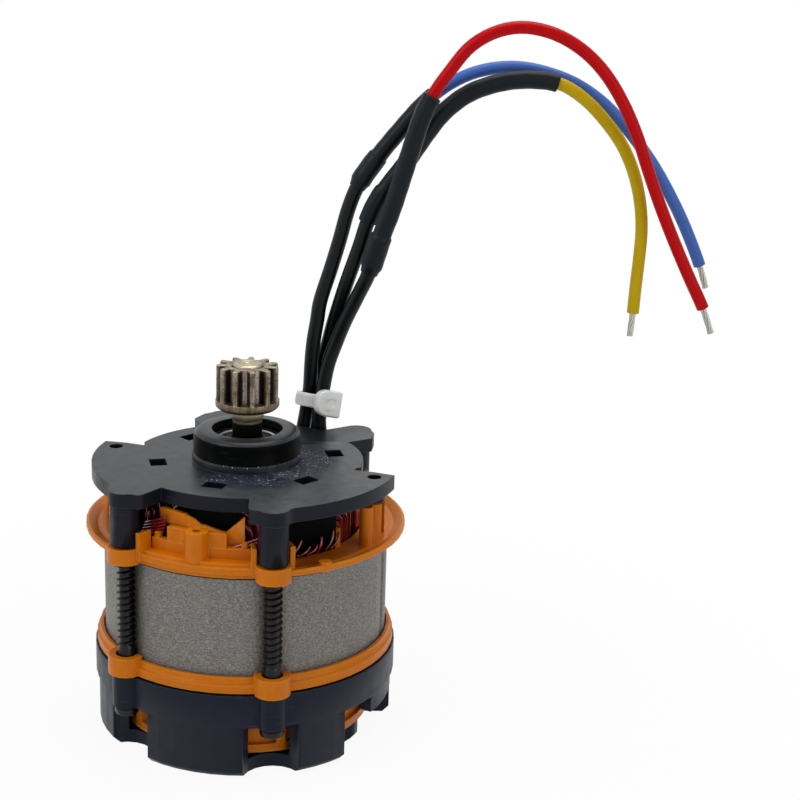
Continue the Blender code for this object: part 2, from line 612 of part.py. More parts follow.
def front_insulator(mat):
    base = FLANGE_BOTTOM_Z
    tray = base + FLANGE_HEIGHT
    yoke = STACK_YOKE_R - FIT
    rim_foot = base + LIP_RISE + 0.6
    rim_top = base + 2.0
    lip = [
        (STACK_R - 0.8, base + 0.3), (STACK_R + 0.4, base + 0.1), (LIP_UNDER_R, base + LIP_RISE), (LIP_R, rim_foot),
        (LIP_R, rim_top - 0.2), (LIP_R - 0.4, rim_top), (LIP_R - 0.9, rim_top - 0.2),
        (LIP_R - 1.9, tray + 0.1), (STACK_R - 0.8, tray - 0.15),
    ]
    ring = prism(circle(STACK_R, 48), base, tray, [circle(yoke, 48)])
    add, cut = [], []
    for side in (0.0, 180.0):
        add.append(part_turned(lip, side + LIP_START, side + 180.0 - LIP_START))
    inner = WALL_OUTER_R - WALL_THICKNESS
    narrow = BAND_R - BAND_STEP
    foot = base + BAND_FOOT_HEIGHT
    half = LIP_START - 4.0
    for middle in (0.0, 180.0):
        low, high = middle - half, middle + half
        add.append(sector(narrow - BAND_WALL, narrow, low, high, base, LEDGE_Z))
        add.append(sector(BAND_R - BAND_WALL, BAND_R, low - 0.6, high + 0.6, foot, LEDGE_Z - BAND_STEP))
    half = LOW_WALL_HALF_ANGLE
    low_top = LEDGE_Z + LOW_WALL_HEIGHT
    high_top = LEDGE_Z + HIGH_WALL_HEIGHT
    add.append(sector(inner, WALL_OUTER_R, -half, half, LEDGE_Z - LAP, low_top, 5.5))
    lead_side = LEAD_NOTCH_ANGLE + LEAD_NOTCH_HALF_ANGLE
    add.append(sector(inner, WALL_OUTER_R, lead_side, 180 + half, LEDGE_Z - LAP, low_top, 5.5))
    low, high = HIGH_WALL_START, HIGH_WALL_END
    add.append(sector(inner + 0.1, WALL_OUTER_R - 0.1, low, high, low_top - LAP, high_top, 5.2))
    boss = polar(CENTRE_BOSS_CIRCLE_R, 0)
    add.append(rod(CENTRE_BOSS_R, LEDGE_Z - LAP, high_top + FIT, boss, 16))
    cut.append(rod(CENTRE_HOLE_R, high_top - 3.0, high_top + CUT, boss, 10))
    for side in (-1, 1):
        nub_r = WALL_OUTER_R - WALL_THICKNESS / 2
        nub = side * TOOTH_NUB_ANGLE
        length = WALL_THICKNESS - 0.3
        add.append(bar(nub_r, nub, length, TOOTH_NUB_WIDTH, low_top - LAP, low_top + TOOTH_NUB_HEIGHT))
    cheek_turn = math.degrees((POST_R + FIT + CHEEK_THICKNESS / 2) / SCREW_CIRCLE_R)
    for angle in SCREW_ANGLES:
        at = polar(SCREW_CIRCLE_R, angle)
        add.append(rod(COLLAR_R, base, COLLAR_TOP_Z, at))
        cut.append(rod(SCREW_HOLE_R, base - CUT, COLLAR_TOP_Z + CUT, at, 12))
        for side in (-1, 1):
            spot = angle + side * cheek_turn
            cheek_r = SCREW_CIRCLE_R - CHEEK_LENGTH / 2
            top = COLLAR_TOP_Z + CHEEK_HEIGHT
            add.append(bar(cheek_r, spot, CHEEK_LENGTH, CHEEK_THICKNESS, tray - LAP, top))
    for side in (-1, 1):
        tower_top = PEG_LUG_BOTTOM_Z - FIT
        tower = polar(TOWER_CIRCLE_R, side * TOWER_ANGLE)
        add.append(rod(TOWER_R, tray - LAP, tower_top, tower, 14))
        cut.append(rod(TOWER_HOLLOW_R, tray + CUT, tower_top + CUT, tower, 10))
        mouth = TOWER_CIRCLE_R + TOWER_R
        width = 1.5 * TOWER_HOLLOW_R
        cut.append(bar(mouth, side * TOWER_ANGLE, 2 * TOWER_R, width, tray + CUT + 0.2, tower_top + CUT + 0.2))
        pillar = polar(TOWER_CIRCLE_R, side * TOWER_PILLAR_ANGLE)
        add.append(rod(TOWER_PILLAR_R, tray - LAP, tower_top, pillar, 10))
    nub = polar(LIP_R - EDGE_NUB_R, EDGE_NUB_ANGLE)
    add.append(rod(EDGE_NUB_R + 0.1, base + LIP_RISE + LAP, rim_top + 0.4, nub, 7))
    tip_inner = TOOTH_TIP_R - TIP_WALL
    half = TOOTH_TIP_HALF_ANGLE - 3.0
    for angle in tooth_angles():
        reach = yoke + LAP - tip_inner - 0.2
        middle = tip_inner + 0.2 + reach / 2
        add.append(bar(middle, angle, reach, 2 * TOOTH_HALF_WIDTH, base, FRONT_ARM_Z))
        add.append(sector(tip_inner, TOOTH_TIP_R, angle - half, angle + half, base, base + FRONT_TIP_HEIGHT, 10.8))
    for side in (0.0, 180.0):
        add.append(guard(side, tray - LAP, base + GUARD_HEIGHT))
    return carved("front_insulator", ring, mat, add, cut)


def lobe(angle, sweep, count):
    """The rounded edge of the plate round one screw."""
    centre, out = polar(SCREW_CIRCLE_R, angle), polar(PLATE_LOBE_R, angle)
    turns = [math.radians(sweep[0] + (sweep[1] - sweep[0]) * i / count) for i in range(count + 1)]
    return [centre + Matrix.Rotation(turn, 3, "Z") @ out for turn in turns]


def plate_outline():
    """Half of the plate's edge, from the front round to the rear, and its mirror."""
    reach = math.degrees(PLATE_LOBE_R / SCREW_CIRCLE_R)
    front, rear = SCREW_ANGLES[0], SCREW_ANGLES[1]
    lead = front - reach - PLATE_FRONT_LOBE_LEAD
    half = arc(PLATE_FRONT_R, 0.0, PLATE_FRONT_HALF_ANGLE)
    half.append(polar(SCREW_CIRCLE_R - PLATE_FRONT_LOBE_IN, lead))
    half.append(polar(SCREW_CIRCLE_R + PLATE_FRONT_LOBE_OUT, lead + PLATE_FRONT_LOBE_TAPER))
    half += lobe(front, PLATE_FRONT_LOBE_SWEEP, 6)
    half += arc(PLATE_SIDE_R, front + reach + PLATE_LOBE_GAP, PLATE_LUG_ANGLE)
    step = PLATE_EDGE_STEP
    half.append(polar(PLATE_WAIST_R + PLATE_LUG_DEPTH, PLATE_LUG_ANGLE + 2 * step))
    half.append(polar(PLATE_WAIST_NOTCH_R, PLATE_LUG_ANGLE + step))
    notch_end = PLATE_LUG_ANGLE + step + PLATE_WAIST_NOTCH_ANGLE
    half.append(polar(PLATE_WAIST_NOTCH_R, notch_end))
    half += arc(PLATE_WAIST_R, notch_end + PLATE_LOBE_GAP, PLATE_LOBE_START)
    half.append(polar(SCREW_CIRCLE_R - PLATE_REAR_LOBE_IN, PLATE_LOBE_START))
    half.append(polar(SCREW_CIRCLE_R + PLATE_REAR_LOBE_OUT, PLATE_LOBE_START + PLATE_REAR_LOBE_TAPER))
    half += lobe(rear, PLATE_REAR_LOBE_SWEEP, 5)
    half += arc(PLATE_FRONT_R, 180.0 - PLATE_REAR_HALF_ANGLE, 180.0)
    mirror = [Vector((-p.x, p.y, 0)) for p in reversed(half[1:-1])]
    return half + mirror


def square_hole(angle):
    out, side = polar(1.0, angle), polar(1.0, angle + 90)
    middle = out * SQUARE_CIRCLE_R
    corners = ((-1, -1), (1, -1), (1, 1), (-1, 1))
    return [middle + out * (a * SQUARE_LENGTH / 2) + side * (b * SQUARE_WIDTH / 2) for a, b in corners]


def boss_edge():
    """The rounded top edge of the bearing boss, as (radius, height) points."""
    turns = [math.radians(30.0 * i) for i in range(4)]
    centre_r, centre_z = BOSS_R - BOSS_FILLET, BOSS_TOP_Z - BOSS_FILLET
    return [(centre_r + BOSS_FILLET * math.cos(a), centre_z + BOSS_FILLET * math.sin(a)) for a in turns]


def front_plate(mat):
    holes = [square_hole(a) for a in tooth_angles()]
    holes.append(circle(BEARING_POCKET_R + LAP, 24))
    plate = prism(plate_outline(), PLATE_BOTTOM_Z, PLATE_TOP_Z, holes)
    foot_z = PLATE_TOP_Z + BOSS_FOOT_HEIGHT
    boss = [
        (BEARING_POCKET_R, PLATE_BOTTOM_Z), (BOSS_R + BOSS_FOOT_STEP, PLATE_BOTTOM_Z),
        (BOSS_R + BOSS_FOOT_STEP, foot_z - BOSS_FOOT_STEP), (BOSS_R, foot_z), *boss_edge(),
        (BOSS_BORE_R, BOSS_TOP_Z), (BOSS_BORE_R, FRONT_POCKET_TOP_Z), (BEARING_POCKET_R, FRONT_POCKET_TOP_Z),
    ]
    add, cut = [turned(boss, 36)], []
    for angle in SCREW_ANGLES:
        at = polar(SCREW_CIRCLE_R, angle)
        add.append(rod(POST_R, POST_BOTTOM_Z, PLATE_BOTTOM_Z + LAP, at))
        cut.append(rod(SCREW_HOLE_R, POST_BOTTOM_Z - CUT, POST_BOTTOM_Z + SCREW_BITE + FIT, at, 12))
    for side in (-1, 1):
        spot = polar(TOWER_CIRCLE_R, side * TOWER_ANGLE)
        add.append(rod(TOWER_R, PEG_LUG_BOTTOM_Z, PLATE_BOTTOM_Z + LAP, spot, 14))
        cut.append(rod(PEG_HOLE_R, PEG_LUG_BOTTOM_Z - CUT, PLATE_TOP_Z + CUT, spot, 12))
    return carved("front_plate", plate, mat, add, cut)


def through_screw(name, angle, mat):
    at = polar(SCREW_CIRCLE_R, angle)
    seat = SCREW_BOSS_BOTTOM_Z - FIT
    bottom = seat - SCREW_HEAD_HEIGHT
    top = POST_BOTTOM_Z + SCREW_BITE
    profile = [
        (0, bottom + SCREW_RECESS_DEPTH), (SCREW_RECESS_R, bottom + SCREW_RECESS_DEPTH), (SCREW_RECESS_R, bottom),
        (0.8 * SCREW_HEAD_R, bottom), (SCREW_HEAD_R, bottom + 0.4 * SCREW_HEAD_HEIGHT), (SCREW_HEAD_R, seat),
        (SCREW_R, seat), (SCREW_R, top - SCREW_R), (0.5 * SCREW_R, top), (0, top),
    ]
    bm = turned(profile, 12)
    bmesh.ops.translate(bm, verts=bm.verts, vec=at)
    return finish(name, bm, mat)


def coil(name, angle, mat):
    """The wire wound round one tooth, as one bowed body."""
    half_inner = TOOTH_HALF_WIDTH + FIT
    bottom_inner = REAR_ARM_Z - FIT
    top_inner = FRONT_ARM_Z + FIT
    stations = []
    for share in (0.0, 0.5, 1.0):
        bow = COIL_BOW * (1 - abs(2 * share - 1))
        radius = COIL_INNER_R + COIL_DEPTH * share
        slot_middle = radius * math.sin(math.pi / TOOTH_COUNT)
        gap = COIL_SLOT_GAP + COIL_SLOT_GAP_GROWTH * share
        stations.append((radius, slot_middle - gap - half_inner + bow, COIL_END + bow))
    stations.append((COIL_INNER_R + COIL_DEPTH, 0.0, 0.0))
    stations.append((COIL_INNER_R, 0.0, 0.0))
    bm = bmesh.new()
    rings = []
    for radius, grow_side, grow_end in stations:
        half = half_inner + grow_side
        low, high = bottom_inner - grow_end, top_inner + grow_end
        bend = COIL_BEND_R + 0.75 * grow_side if grow_side else FIT
        ring = []
        quarters = ((1, 1, 0), (-1, 1, 90), (-1, -1, 180), (1, -1, 270))
        for sx, sz, start in quarters:
            corner_x = sx * (half - bend)
            corner_z = (high - bend) if sz > 0 else (low + bend)
            for j in range(4):
                a = math.radians(start + 90 * j / 3)
                t = corner_x + bend * math.cos(a)
                z = corner_z + bend * math.sin(a)
                round_tooth = math.degrees(math.asin(t / radius))
                ring.append(bm.verts.new(polar(radius, angle + round_tooth, z)))
        rings.append(ring)
    for k in range(len(rings)):
        low, high = rings[k - 1], rings[k]
        for i in range(len(low)):
            bm.faces.new((low[i - 1], low[i], high[i], high[i - 1]))
    return finish(name, bm, mat, 50.0)


def bearing_outer(name, bottom, mat):
    top = bottom + BEARING_HEIGHT
    race = BEARING_R - BEARING_OUTER_WALL
    shield = SHAFT_BORE_R + BEARING_INNER_WALL + FIT
    low, high = bottom + SHIELD_INSET, top - SHIELD_INSET
    profile = [
        (race, bottom), (BEARING_R, bottom), (BEARING_R, top), (race, top),
        (race, high), (shield, high), (shield, low), (race, low),
    ]
    return finish(name, turned(profile, 24), mat)


def bearing_inner(name, bottom, mat):
    outer = SHAFT_BORE_R + BEARING_INNER_WALL
    top = bottom + BEARING_HEIGHT
    profile = [(SHAFT_BORE_R, bottom), (outer, bottom), (outer, top), (SHAFT_BORE_R, top)]
    return finish(name, turned(profile, 24), mat)


def wave_washer(mat):
    outer = BEARING_R - FIT
    inner = outer - WASHER_WIDTH
    count = 24
    bm = bmesh.new()
    rings = []
    for radius, lift in ((outer, -0.5), (outer, 0.5), (inner, 0.5), (inner, -0.5)):
        ring = []
        for i in range(count):
            a = 360.0 * i / count
            wave = WASHER_AMPLITUDE * math.cos(math.radians(WASHER_WAVES * a))
            ring.append(bm.verts.new(polar(radius, a, WASHER_Z + wave + lift * WASHER_THICKNESS)))
        rings.append(ring)
    for k in range(4):
        low, high = rings[k - 1], rings[k]
        for i in range(count):
            bm.faces.new((low[i - 1], low[i], high[i], high[i - 1]))
    return finish("wave_washer", bm, mat, 50.0)


def shaft(mat):
    c = SHAFT_CHAMFER
    profile = [
        (0, SHAFT_BOTTOM_Z), (SHAFT_R - c, SHAFT_BOTTOM_Z), (SHAFT_R, SHAFT_BOTTOM_Z + c),
        (SHAFT_R, SHAFT_TOP_Z - c), (SHAFT_R - c, SHAFT_TOP_Z), (0, SHAFT_TOP_Z),
    ]
    return finish("rotor_shaft", turned(profile, 24), mat)


def magnet_corners(angle, extra=0.0):
    out, side = polar(1.0, angle), polar(1.0, angle + 90)
    middle = out * MAGNET_CIRCLE_R
    length, width = MAGNET_THICKNESS / 2 + extra, MAGNET_WIDTH / 2 + extra
    corners = ((-1, -1), (1, -1), (1, 1), (-1, 1))
    return [middle + out * (a * length) + side * (b * width) for a, b in corners]


def magnet_angles():
    return [45.0 + 360.0 * i / MAGNET_COUNT for i in range(MAGNET_COUNT)]


def rotor_core(mat):
    slots = [magnet_corners(a, FIT) for a in magnet_angles()]
    slots.append(circle(SHAFT_BORE_R, 28))
    return finish("rotor_core", prism(circle(ROTOR_R, 48), STACK_BOTTOM_Z, STACK_TOP_Z, slots), mat)


def magnet(name, angle, mat):
    return finish(name, prism(magnet_corners(angle), STACK_BOTTOM_Z, STACK_TOP_Z), mat)


def end_disc(name, bottom, mat):
    top = bottom + END_DISC_HEIGHT
    profile = [(SHAFT_BORE_R, bottom), (END_DISC_R, bottom), (END_DISC_R, top), (SHAFT_BORE_R, top)]
    return finish(name, turned(profile, 28), mat)


def cooling_fan(mat):
    disc_top = FAN_DISC_BOTTOM_Z + FAN_DISC_HEIGHT
    hub_top = STACK_BOTTOM_Z - 2 * FIT - END_DISC_HEIGHT
    hub_bottom = REAR_BEARING_Z + BEARING_HEIGHT + FIT
    profile = [
        (SHAFT_BORE_R, hub_bottom), (FAN_HUB_R, hub_bottom), (FAN_HUB_R, FAN_DISC_BOTTOM_Z),
        (FAN_R, FAN_DISC_BOTTOM_Z), (FAN_R, disc_top), (FAN_HUB_R, disc_top), (FAN_HUB_R, hub_top),
        (SHAFT_BORE_R, hub_top),
    ]
    blade_bottom = FLOOR_HEIGHT + FAN_FLOOR_CLEARANCE
    blade_end = FAN_R - FAN_BLADE_TIP_GAP
    blades = []
    for i in range(FAN_BLADE_COUNT):
        start = 360.0 * i / FAN_BLADE_COUNT
        spine = []
        for k in range(3):
            share = k / 2
            radius = blade_end - FAN_BLADE_LENGTH * (1 - share)
            spine.append(polar(radius, start + FAN_BLADE_SWEEP * share**1.4))
        left, right = [], []
        for k, p in enumerate(spine):
            along = (spine[min(k + 1, 2)] - spine[max(k - 1, 0)]).normalized()
            side = Vector((-along.y, along.x, 0)) * FAN_BLADE_THICKNESS / 2
            left.append(p + side)
            right.append(p - side)
        blades.append(prism(left + right[::-1], blade_bottom, FAN_DISC_BOTTOM_Z + LAP))
    return carved("cooling_fan", turned(profile, 30), mat, blades)


def pinion(mat):
    pitch = 360.0 / PINION_TEETH
    outline = []
    for i in range(PINION_TEETH):
        middle = PINION_TURN + i * pitch
        root, flank, tip = (pitch * fill / 2 for fill in (PINION_ROOT_FILL, PINION_PITCH_FILL, PINION_TIP_FILL))
        outline += [
            polar(PINION_ROOT_R, middle - root), polar(PINION_PITCH_R, middle - flank),
            polar(PINION_TIP_R, middle - tip), polar(PINION_TIP_R, middle + tip),
            polar(PINION_PITCH_R, middle + flank), polar(PINION_ROOT_R, middle + root),
        ]
    teeth = prism(outline, PINION_TEETH_Z - LAP, PINION_TOP_Z)
    c = PINION_FLANGE_ROUND
    profile = [
        (0, PINION_BOTTOM_Z), (FLANGE_R - c, PINION_BOTTOM_Z), (FLANGE_R - 0.35 * c, PINION_BOTTOM_Z + 0.3 * c),
        (FLANGE_R, PINION_BOTTOM_Z + c), (FLANGE_R, PINION_TEETH_Z), (0, PINION_TEETH_Z),
    ]
    chamfer = PINION_BORE_CHAMFER
    bore = [
        (0, PINION_BOTTOM_Z - CUT), (SHAFT_BORE_R, PINION_BOTTOM_Z - CUT),
        (SHAFT_BORE_R, PINION_TOP_Z - chamfer), (SHAFT_BORE_R + chamfer + CUT, PINION_TOP_Z + CUT),
        (0, PINION_TOP_Z + CUT),
    ]
    return carved("pinion", turned(profile, 33), mat, [teeth], [turned(bore, 24)])


# Each lead's route from the ledge behind the plate to its bare end, in millimetres from the
# point of the stack's edge where the leads come out: across the leads' plane, back and up.
BLUE_ROUTE = (
    (-0.4, -1.4, 0.3), (-0.6, -1.2, 4.0), (-1.3, -0.8, 8.0), (-1.4, -0.5, 11.5), (-1.0, -0.7, 16.0),
    (-0.8, -1.0, 21.0), (-0.5, -1.2, 25.0), (0.1, -1.3, 29.0), (0.6, -1.4, 32.5), (2.4, -1.4, 38.5),
    (3.8, -1.4, 43.5), (5.2, -1.4, 49.0), (7.0, -1.4, 53.5), (10.1, -1.4, 58.1), (13.8, -1.5, 62.8),
    (17.7, -1.6, 67.3), (21.6, -1.7, 71.3), (25.6, -1.8, 73.7), (30.0, -1.9, 74.7), (34.6, -2.0, 74.5),
    (39.6, -2.1, 73.2), (44.2, -2.2, 71.0), (48.5, -2.3, 68.2), (51.9, -2.4, 65.0), (55.0, -2.5, 61.5),
    (58.3, -2.6, 57.2), (61.4, -2.7, 52.3), (64.3, -2.8, 47.0), (67.2, -2.9, 40.7), (68.9, -3.0, 35.9),
)
YELLOW_ROUTE = (
    (-2.7, 0.5, 0.3), (-2.4, 1.0, 4.0), (-1.1, 2.0, 8.0), (-0.1, 1.8, 11.5), (0.3, 1.7, 16.0),
    (1.4, 0.9, 21.0), (2.3, 0.1, 25.0), (3.2, -0.8, 29.0), (5.0, -3.0, 36.0), (7.0, -4.2, 42.5),
    (8.4, -4.7, 47.4), (10.1, -4.9, 51.3), (12.6, -5.0, 54.9), (15.2, -5.1, 58.4), (18.0, -5.2, 62.7),
    (20.9, -5.3, 66.5), (25.0, -5.4, 69.7), (30.2, -5.5, 71.6), (35.4, -5.6, 72.2), (40.4, -5.7, 71.6),
    (44.6, -5.8, 69.2), (48.3, -5.9, 65.7), (51.6, -6.0, 61.5), (53.9, -6.1, 56.8), (55.3, -6.2, 51.9),
    (55.9, -6.3, 47.0), (55.8, -6.4, 42.1), (55.5, -6.5, 36.8), (55.3, -6.6, 32.2), (55.0, -6.7, 27.9),
)
RED_ROUTE = (
    (2.3, -2.1, 0.3), (2.0, -2.2, 4.0), (1.0, -2.4, 8.0), (0.7, -2.4, 11.5), (1.3, -2.3, 16.5),
    (2.1, -2.3, 21.0), (3.4, -2.5, 25.0), (4.9, -3.4, 29.3), (6.9, -4.8, 34.1), (8.7, -6.6, 38.7),
    (10.4, -7.8, 44.8), (12.1, -8.5, 49.9), (13.6, -8.8, 55.1), (15.2, -8.9, 60.7), (16.7, -9.0, 65.7),
    (18.6, -9.1, 69.9), (21.2, -9.2, 73.8), (25.0, -9.3, 77.5), (29.2, -9.4, 80.0), (33.8, -9.5, 81.0),
    (38.8, -9.6, 80.1), (43.5, -9.7, 77.7), (47.4, -9.8, 74.1), (50.6, -9.9, 69.4), (53.2, -10.0, 63.8),
    (55.6, -10.1, 57.7), (58.0, -10.2, 51.9), (60.6, -10.3, 46.2), (63.6, -10.4, 40.1), (66.8, -10.5, 33.9),
    (68.5, -10.6, 29.5),
)
# Each stretch of a lead: its node, its material, its radius, and how far along the route it ends.
LEADS = (
    (BLUE_ROUTE, (
        ("blue_black_lead", "lead_black", LEAD_R, 55.0), ("blue_sleeve", "sleeve_black", SLEEVE_R, 75.5),
        ("blue_lead", "wire_blue", WIRE_R, 141.5), ("blue_bare_end", "tinned_copper", TINNED_R, None),
    )),
    (YELLOW_ROUTE, (
        ("yellow_black_lead", "lead_black", LEAD_R, 69.5),
        ("yellow_sleeve", "sleeve_black", SLEEVE_R, 93.0), ("yellow_lead", "wire_yellow", WIRE_R, 138.5),
        ("yellow_bare_end", "tinned_copper", TINNED_R, None),
    )),
    (RED_ROUTE, (
        ("red_black_lead", "lead_black", LEAD_R, 40.5), ("red_splice", "sleeve_black", SPLICE_R, 46.5),
        ("red_sleeve", "sleeve_black", SLEEVE_R, 73.0), ("red_lead", "wire_red", WIRE_R, 153.5),
        ("red_bare_end", "tinned_copper", TINNED_R, None),
    )),
)


def lead_place(across, back, up):
    outlet = polar(STACK_R, LEAD_NOTCH_ANGLE, LEDGE_Z)
    return outlet + Matrix.Rotation(math.radians(LEAD_TURN), 3, "Z") @ Vector((across, back, up))


def smooth_route(points, per_span=12):
    """A smooth curve through the route's points."""
    places = [lead_place(*p) for p in points]
    padded = [2 * places[0] - places[1], *places, 2 * places[-1] - places[-2]]
    curve = []
    for i in range(1, len(padded) - 2):
        a, b, c, d = padded[i - 1:i + 3]
        for k in range(per_span):
            t = k / per_span
            bend = 2 * a - 5 * b + 4 * c - d
            twist = 3 * (b - c) + d - a
            curve.append(b + 0.5 * t * ((c - a) + t * (bend + t * twist)))
    curve.append(places[-1])
    return curve


def stretch(curve, start, end, step):
    """Points on the curve between two lengths along it, with square ends."""
    lengths = [0.0]
    for a, b in zip(curve, curve[1:]):
        lengths.append(lengths[-1] + (b - a).length)
    end = lengths[-1] if end is None else min(end, lengths[-1])
    count = max(1, round((end - start) / step))
    marks = [start + (end - start) * i / count for i in range(1, count)]
    points = []
    for wanted in (start, start + LEAD_END_STEP, *marks, end - LEAD_END_STEP, end):
        k = 0
        while k < len(curve) - 2 and lengths[k + 1] < wanted:
            k += 1
        share = (wanted - lengths[k]) / (lengths[k + 1] - lengths[k])
        points.append(curve[k].lerp(curve[k + 1], share))
    return points


def tube(name, points, radius, mat):
    data = bpy.data.curves.new(name, "CURVE")
    data.dimensions = "3D"
    data.bevel_depth = radius * MM
    data.bevel_resolution = 2
    data.use_fill_caps = True
    spline = data.splines.new("POLY")
    spline.points.add(len(points) - 1)
    for spot, p in zip(spline.points, points):
        spot.co = (*(p * MM), 1.0)
    data.materials.append(mat)
    obj = bpy.data.objects.new(name, data)
    bpy.context.collection.objects.link(obj)
    return obj


def leads(mats):
    for route, pieces in LEADS:
        curve = smooth_route(route)
        start = 0.0
        for name, finish_name, radius, end in pieces:
            tube(name, stretch(curve, start, end, LEAD_STEP), radius, mats[finish_name])
            if end is not None:
                start = end + FIT


def cable_tie(mat):
    centre = lead_place(*TIE_CENTRE)
    outer = TIE_INNER_R + TIE_BAND
    half = TIE_WIDTH / 2
    loop = turned([(TIE_INNER_R, -half), (outer, -half), (outer, half), (TIE_INNER_R, half)], 28)
    bmesh.ops.scale(loop, vec=(TIE_SQUEEZE, 1, 1), verts=loop.verts)
    width, depth, height = TIE_HEAD
    corners = ((-1, -1), (1, -1), (1, 1), (-1, 1))
    outline = [Vector((a * width / 2, b * depth / 2, 0)) for a, b in corners]
    head = prism(outline, -height / 2, height / 2)
    back = turn_about("Z", -TIE_HEAD_TURN)
    out = Matrix.Translation((0, -(TIE_INNER_R + depth / 2 + FIT), 0))
    bmesh.ops.transform(head, matrix=turn_about("Z", TIE_HEAD_ANGLE) @ out @ back, verts=head.verts)
    obj = carved("cable_tie", loop, mat, [head])
    tilt = turn_about("Z", LEAD_TURN) @ turn_about("Y", TIE_TILT) @ turn_about("X", -TIE_FRONT_LIFT)
    obj.data.transform(Matrix.Translation(centre * MM) @ tilt)
    return obj


def turn_about(axis, angle):
    return Matrix.Rotation(math.radians(angle), 4, axis)


def materials():
    return {
        "housing_black": material("housing_black", (0.016, 0.018, 0.024), 0.45),
        "plate_black": material("plate_black", (0.022, 0.024, 0.028), 0.32),
        "insulator_orange": material("insulator_orange", (0.78, 0.27, 0.025), 0.42),
        "lamination_steel": material("lamination_steel", (0.27, 0.26, 0.24), 0.5, 0.8),
        "coil_enamel": material("coil_enamel", (0.16, 0.008, 0.018), 0.3, 0.3),
        "screw_black": material("screw_black", (0.02, 0.02, 0.02), 0.4, 0.5),
        "bearing_steel": material("bearing_steel", (0.5, 0.5, 0.5), 0.25, 1.0),
        "shaft_steel": material("shaft_steel", (0.45, 0.42, 0.36), 0.3, 1.0),
        "pinion_steel": material("pinion_steel", (0.2, 0.17, 0.13), 0.45, 0.9),
        "magnet_grey": material("magnet_grey", (0.35, 0.35, 0.36), 0.3, 0.9),
        "disc_brass": material("disc_brass", (0.6, 0.45, 0.2), 0.35, 1.0),
        "fan_black": material("fan_black", (0.02, 0.02, 0.022), 0.5),
        "lead_black": material("lead_black", (0.012, 0.012, 0.013), 0.35),
        "sleeve_black": material("sleeve_black", (0.014, 0.016, 0.016), 0.5),
        "wire_red": material("wire_red", (0.6, 0.003, 0.008), 0.35),
        "wire_blue": material("wire_blue", (0.045, 0.1, 0.4), 0.35),
        "wire_yellow": material("wire_yellow", (0.43, 0.3, 0.01), 0.35),
        "tinned_copper": material("tinned_copper", (0.55, 0.52, 0.46), 0.35, 1.0),
        "tie_nylon": material("tie_nylon", (0.5, 0.51, 0.5), 0.4),
    }


def main():
    for obj in list(bpy.data.objects):
        bpy.data.objects.remove(obj)
    mats = materials()
    rear_housing(mats["housing_black"])
    rear_insulator(mats["insulator_orange"])
    stator_core(mats["lamination_steel"])
    front_insulator(mats["insulator_orange"])
    front_plate(mats["plate_black"])
    for i, angle in enumerate(SCREW_ANGLES, 1):
        through_screw(f"through_screw_{i}", angle, mats["screw_black"])
    for i, angle in enumerate(tooth_angles(), 1):
        coil(f"coil_{i}", angle, mats["coil_enamel"])
    for name, bottom in (("front", FRONT_BEARING_Z), ("rear", REAR_BEARING_Z)):
        bearing_outer(f"{name}_bearing_outer", bottom, mats["bearing_steel"])
        bearing_inner(f"{name}_bearing_inner", bottom, mats["bearing_steel"])
    wave_washer(mats["bearing_steel"])
    shaft(mats["shaft_steel"])
    rotor_core(mats["lamination_steel"])
    for i, angle in enumerate(magnet_angles(), 1):
        magnet(f"magnet_{i}", angle, mats["magnet_grey"])
    end_disc("front_end_disc", STACK_TOP_Z + FIT, mats["disc_brass"])
    end_disc("rear_end_disc", STACK_BOTTOM_Z - FIT - END_DISC_HEIGHT, mats["disc_brass"])
    cooling_fan(mats["fan_black"])
    pinion(mats["pinion_steel"])
    leads(mats)
    cable_tie(mats["tie_nylon"])


main()
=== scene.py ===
# Looks of the brushless tool motor: finishes, wound wire, threads, leads, light and camera.
# Shapes are worked out in millimetres and turned into metres once each is complete.
import json
import random
from math import asin, ceil, cos, degrees, pi, radians, sin

import bmesh
import bpy
from mathutils import Matrix, Vector

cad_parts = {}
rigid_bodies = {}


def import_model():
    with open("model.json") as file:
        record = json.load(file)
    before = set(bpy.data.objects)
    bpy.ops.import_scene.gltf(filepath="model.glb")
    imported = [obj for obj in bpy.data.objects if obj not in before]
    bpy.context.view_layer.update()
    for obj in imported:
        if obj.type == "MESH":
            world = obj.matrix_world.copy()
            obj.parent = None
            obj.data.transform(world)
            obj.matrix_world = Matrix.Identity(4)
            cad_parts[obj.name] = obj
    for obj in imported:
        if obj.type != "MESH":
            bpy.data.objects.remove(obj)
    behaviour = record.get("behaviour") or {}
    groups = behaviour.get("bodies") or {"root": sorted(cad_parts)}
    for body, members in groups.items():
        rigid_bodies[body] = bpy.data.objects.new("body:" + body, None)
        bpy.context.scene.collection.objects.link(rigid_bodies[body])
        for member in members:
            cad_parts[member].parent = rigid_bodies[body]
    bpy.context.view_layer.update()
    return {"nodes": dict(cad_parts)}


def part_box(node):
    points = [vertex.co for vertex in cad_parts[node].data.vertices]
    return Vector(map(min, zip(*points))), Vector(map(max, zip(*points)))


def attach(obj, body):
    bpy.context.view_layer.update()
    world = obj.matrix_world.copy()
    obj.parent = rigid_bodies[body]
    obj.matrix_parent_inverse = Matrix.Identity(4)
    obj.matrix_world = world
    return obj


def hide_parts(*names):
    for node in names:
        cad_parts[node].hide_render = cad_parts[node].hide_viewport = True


MM = 0.001

scene = bpy.context.scene
for stray in list(bpy.data.objects):
    bpy.data.objects.remove(stray)
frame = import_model()


# Measures of the motor, in millimetres

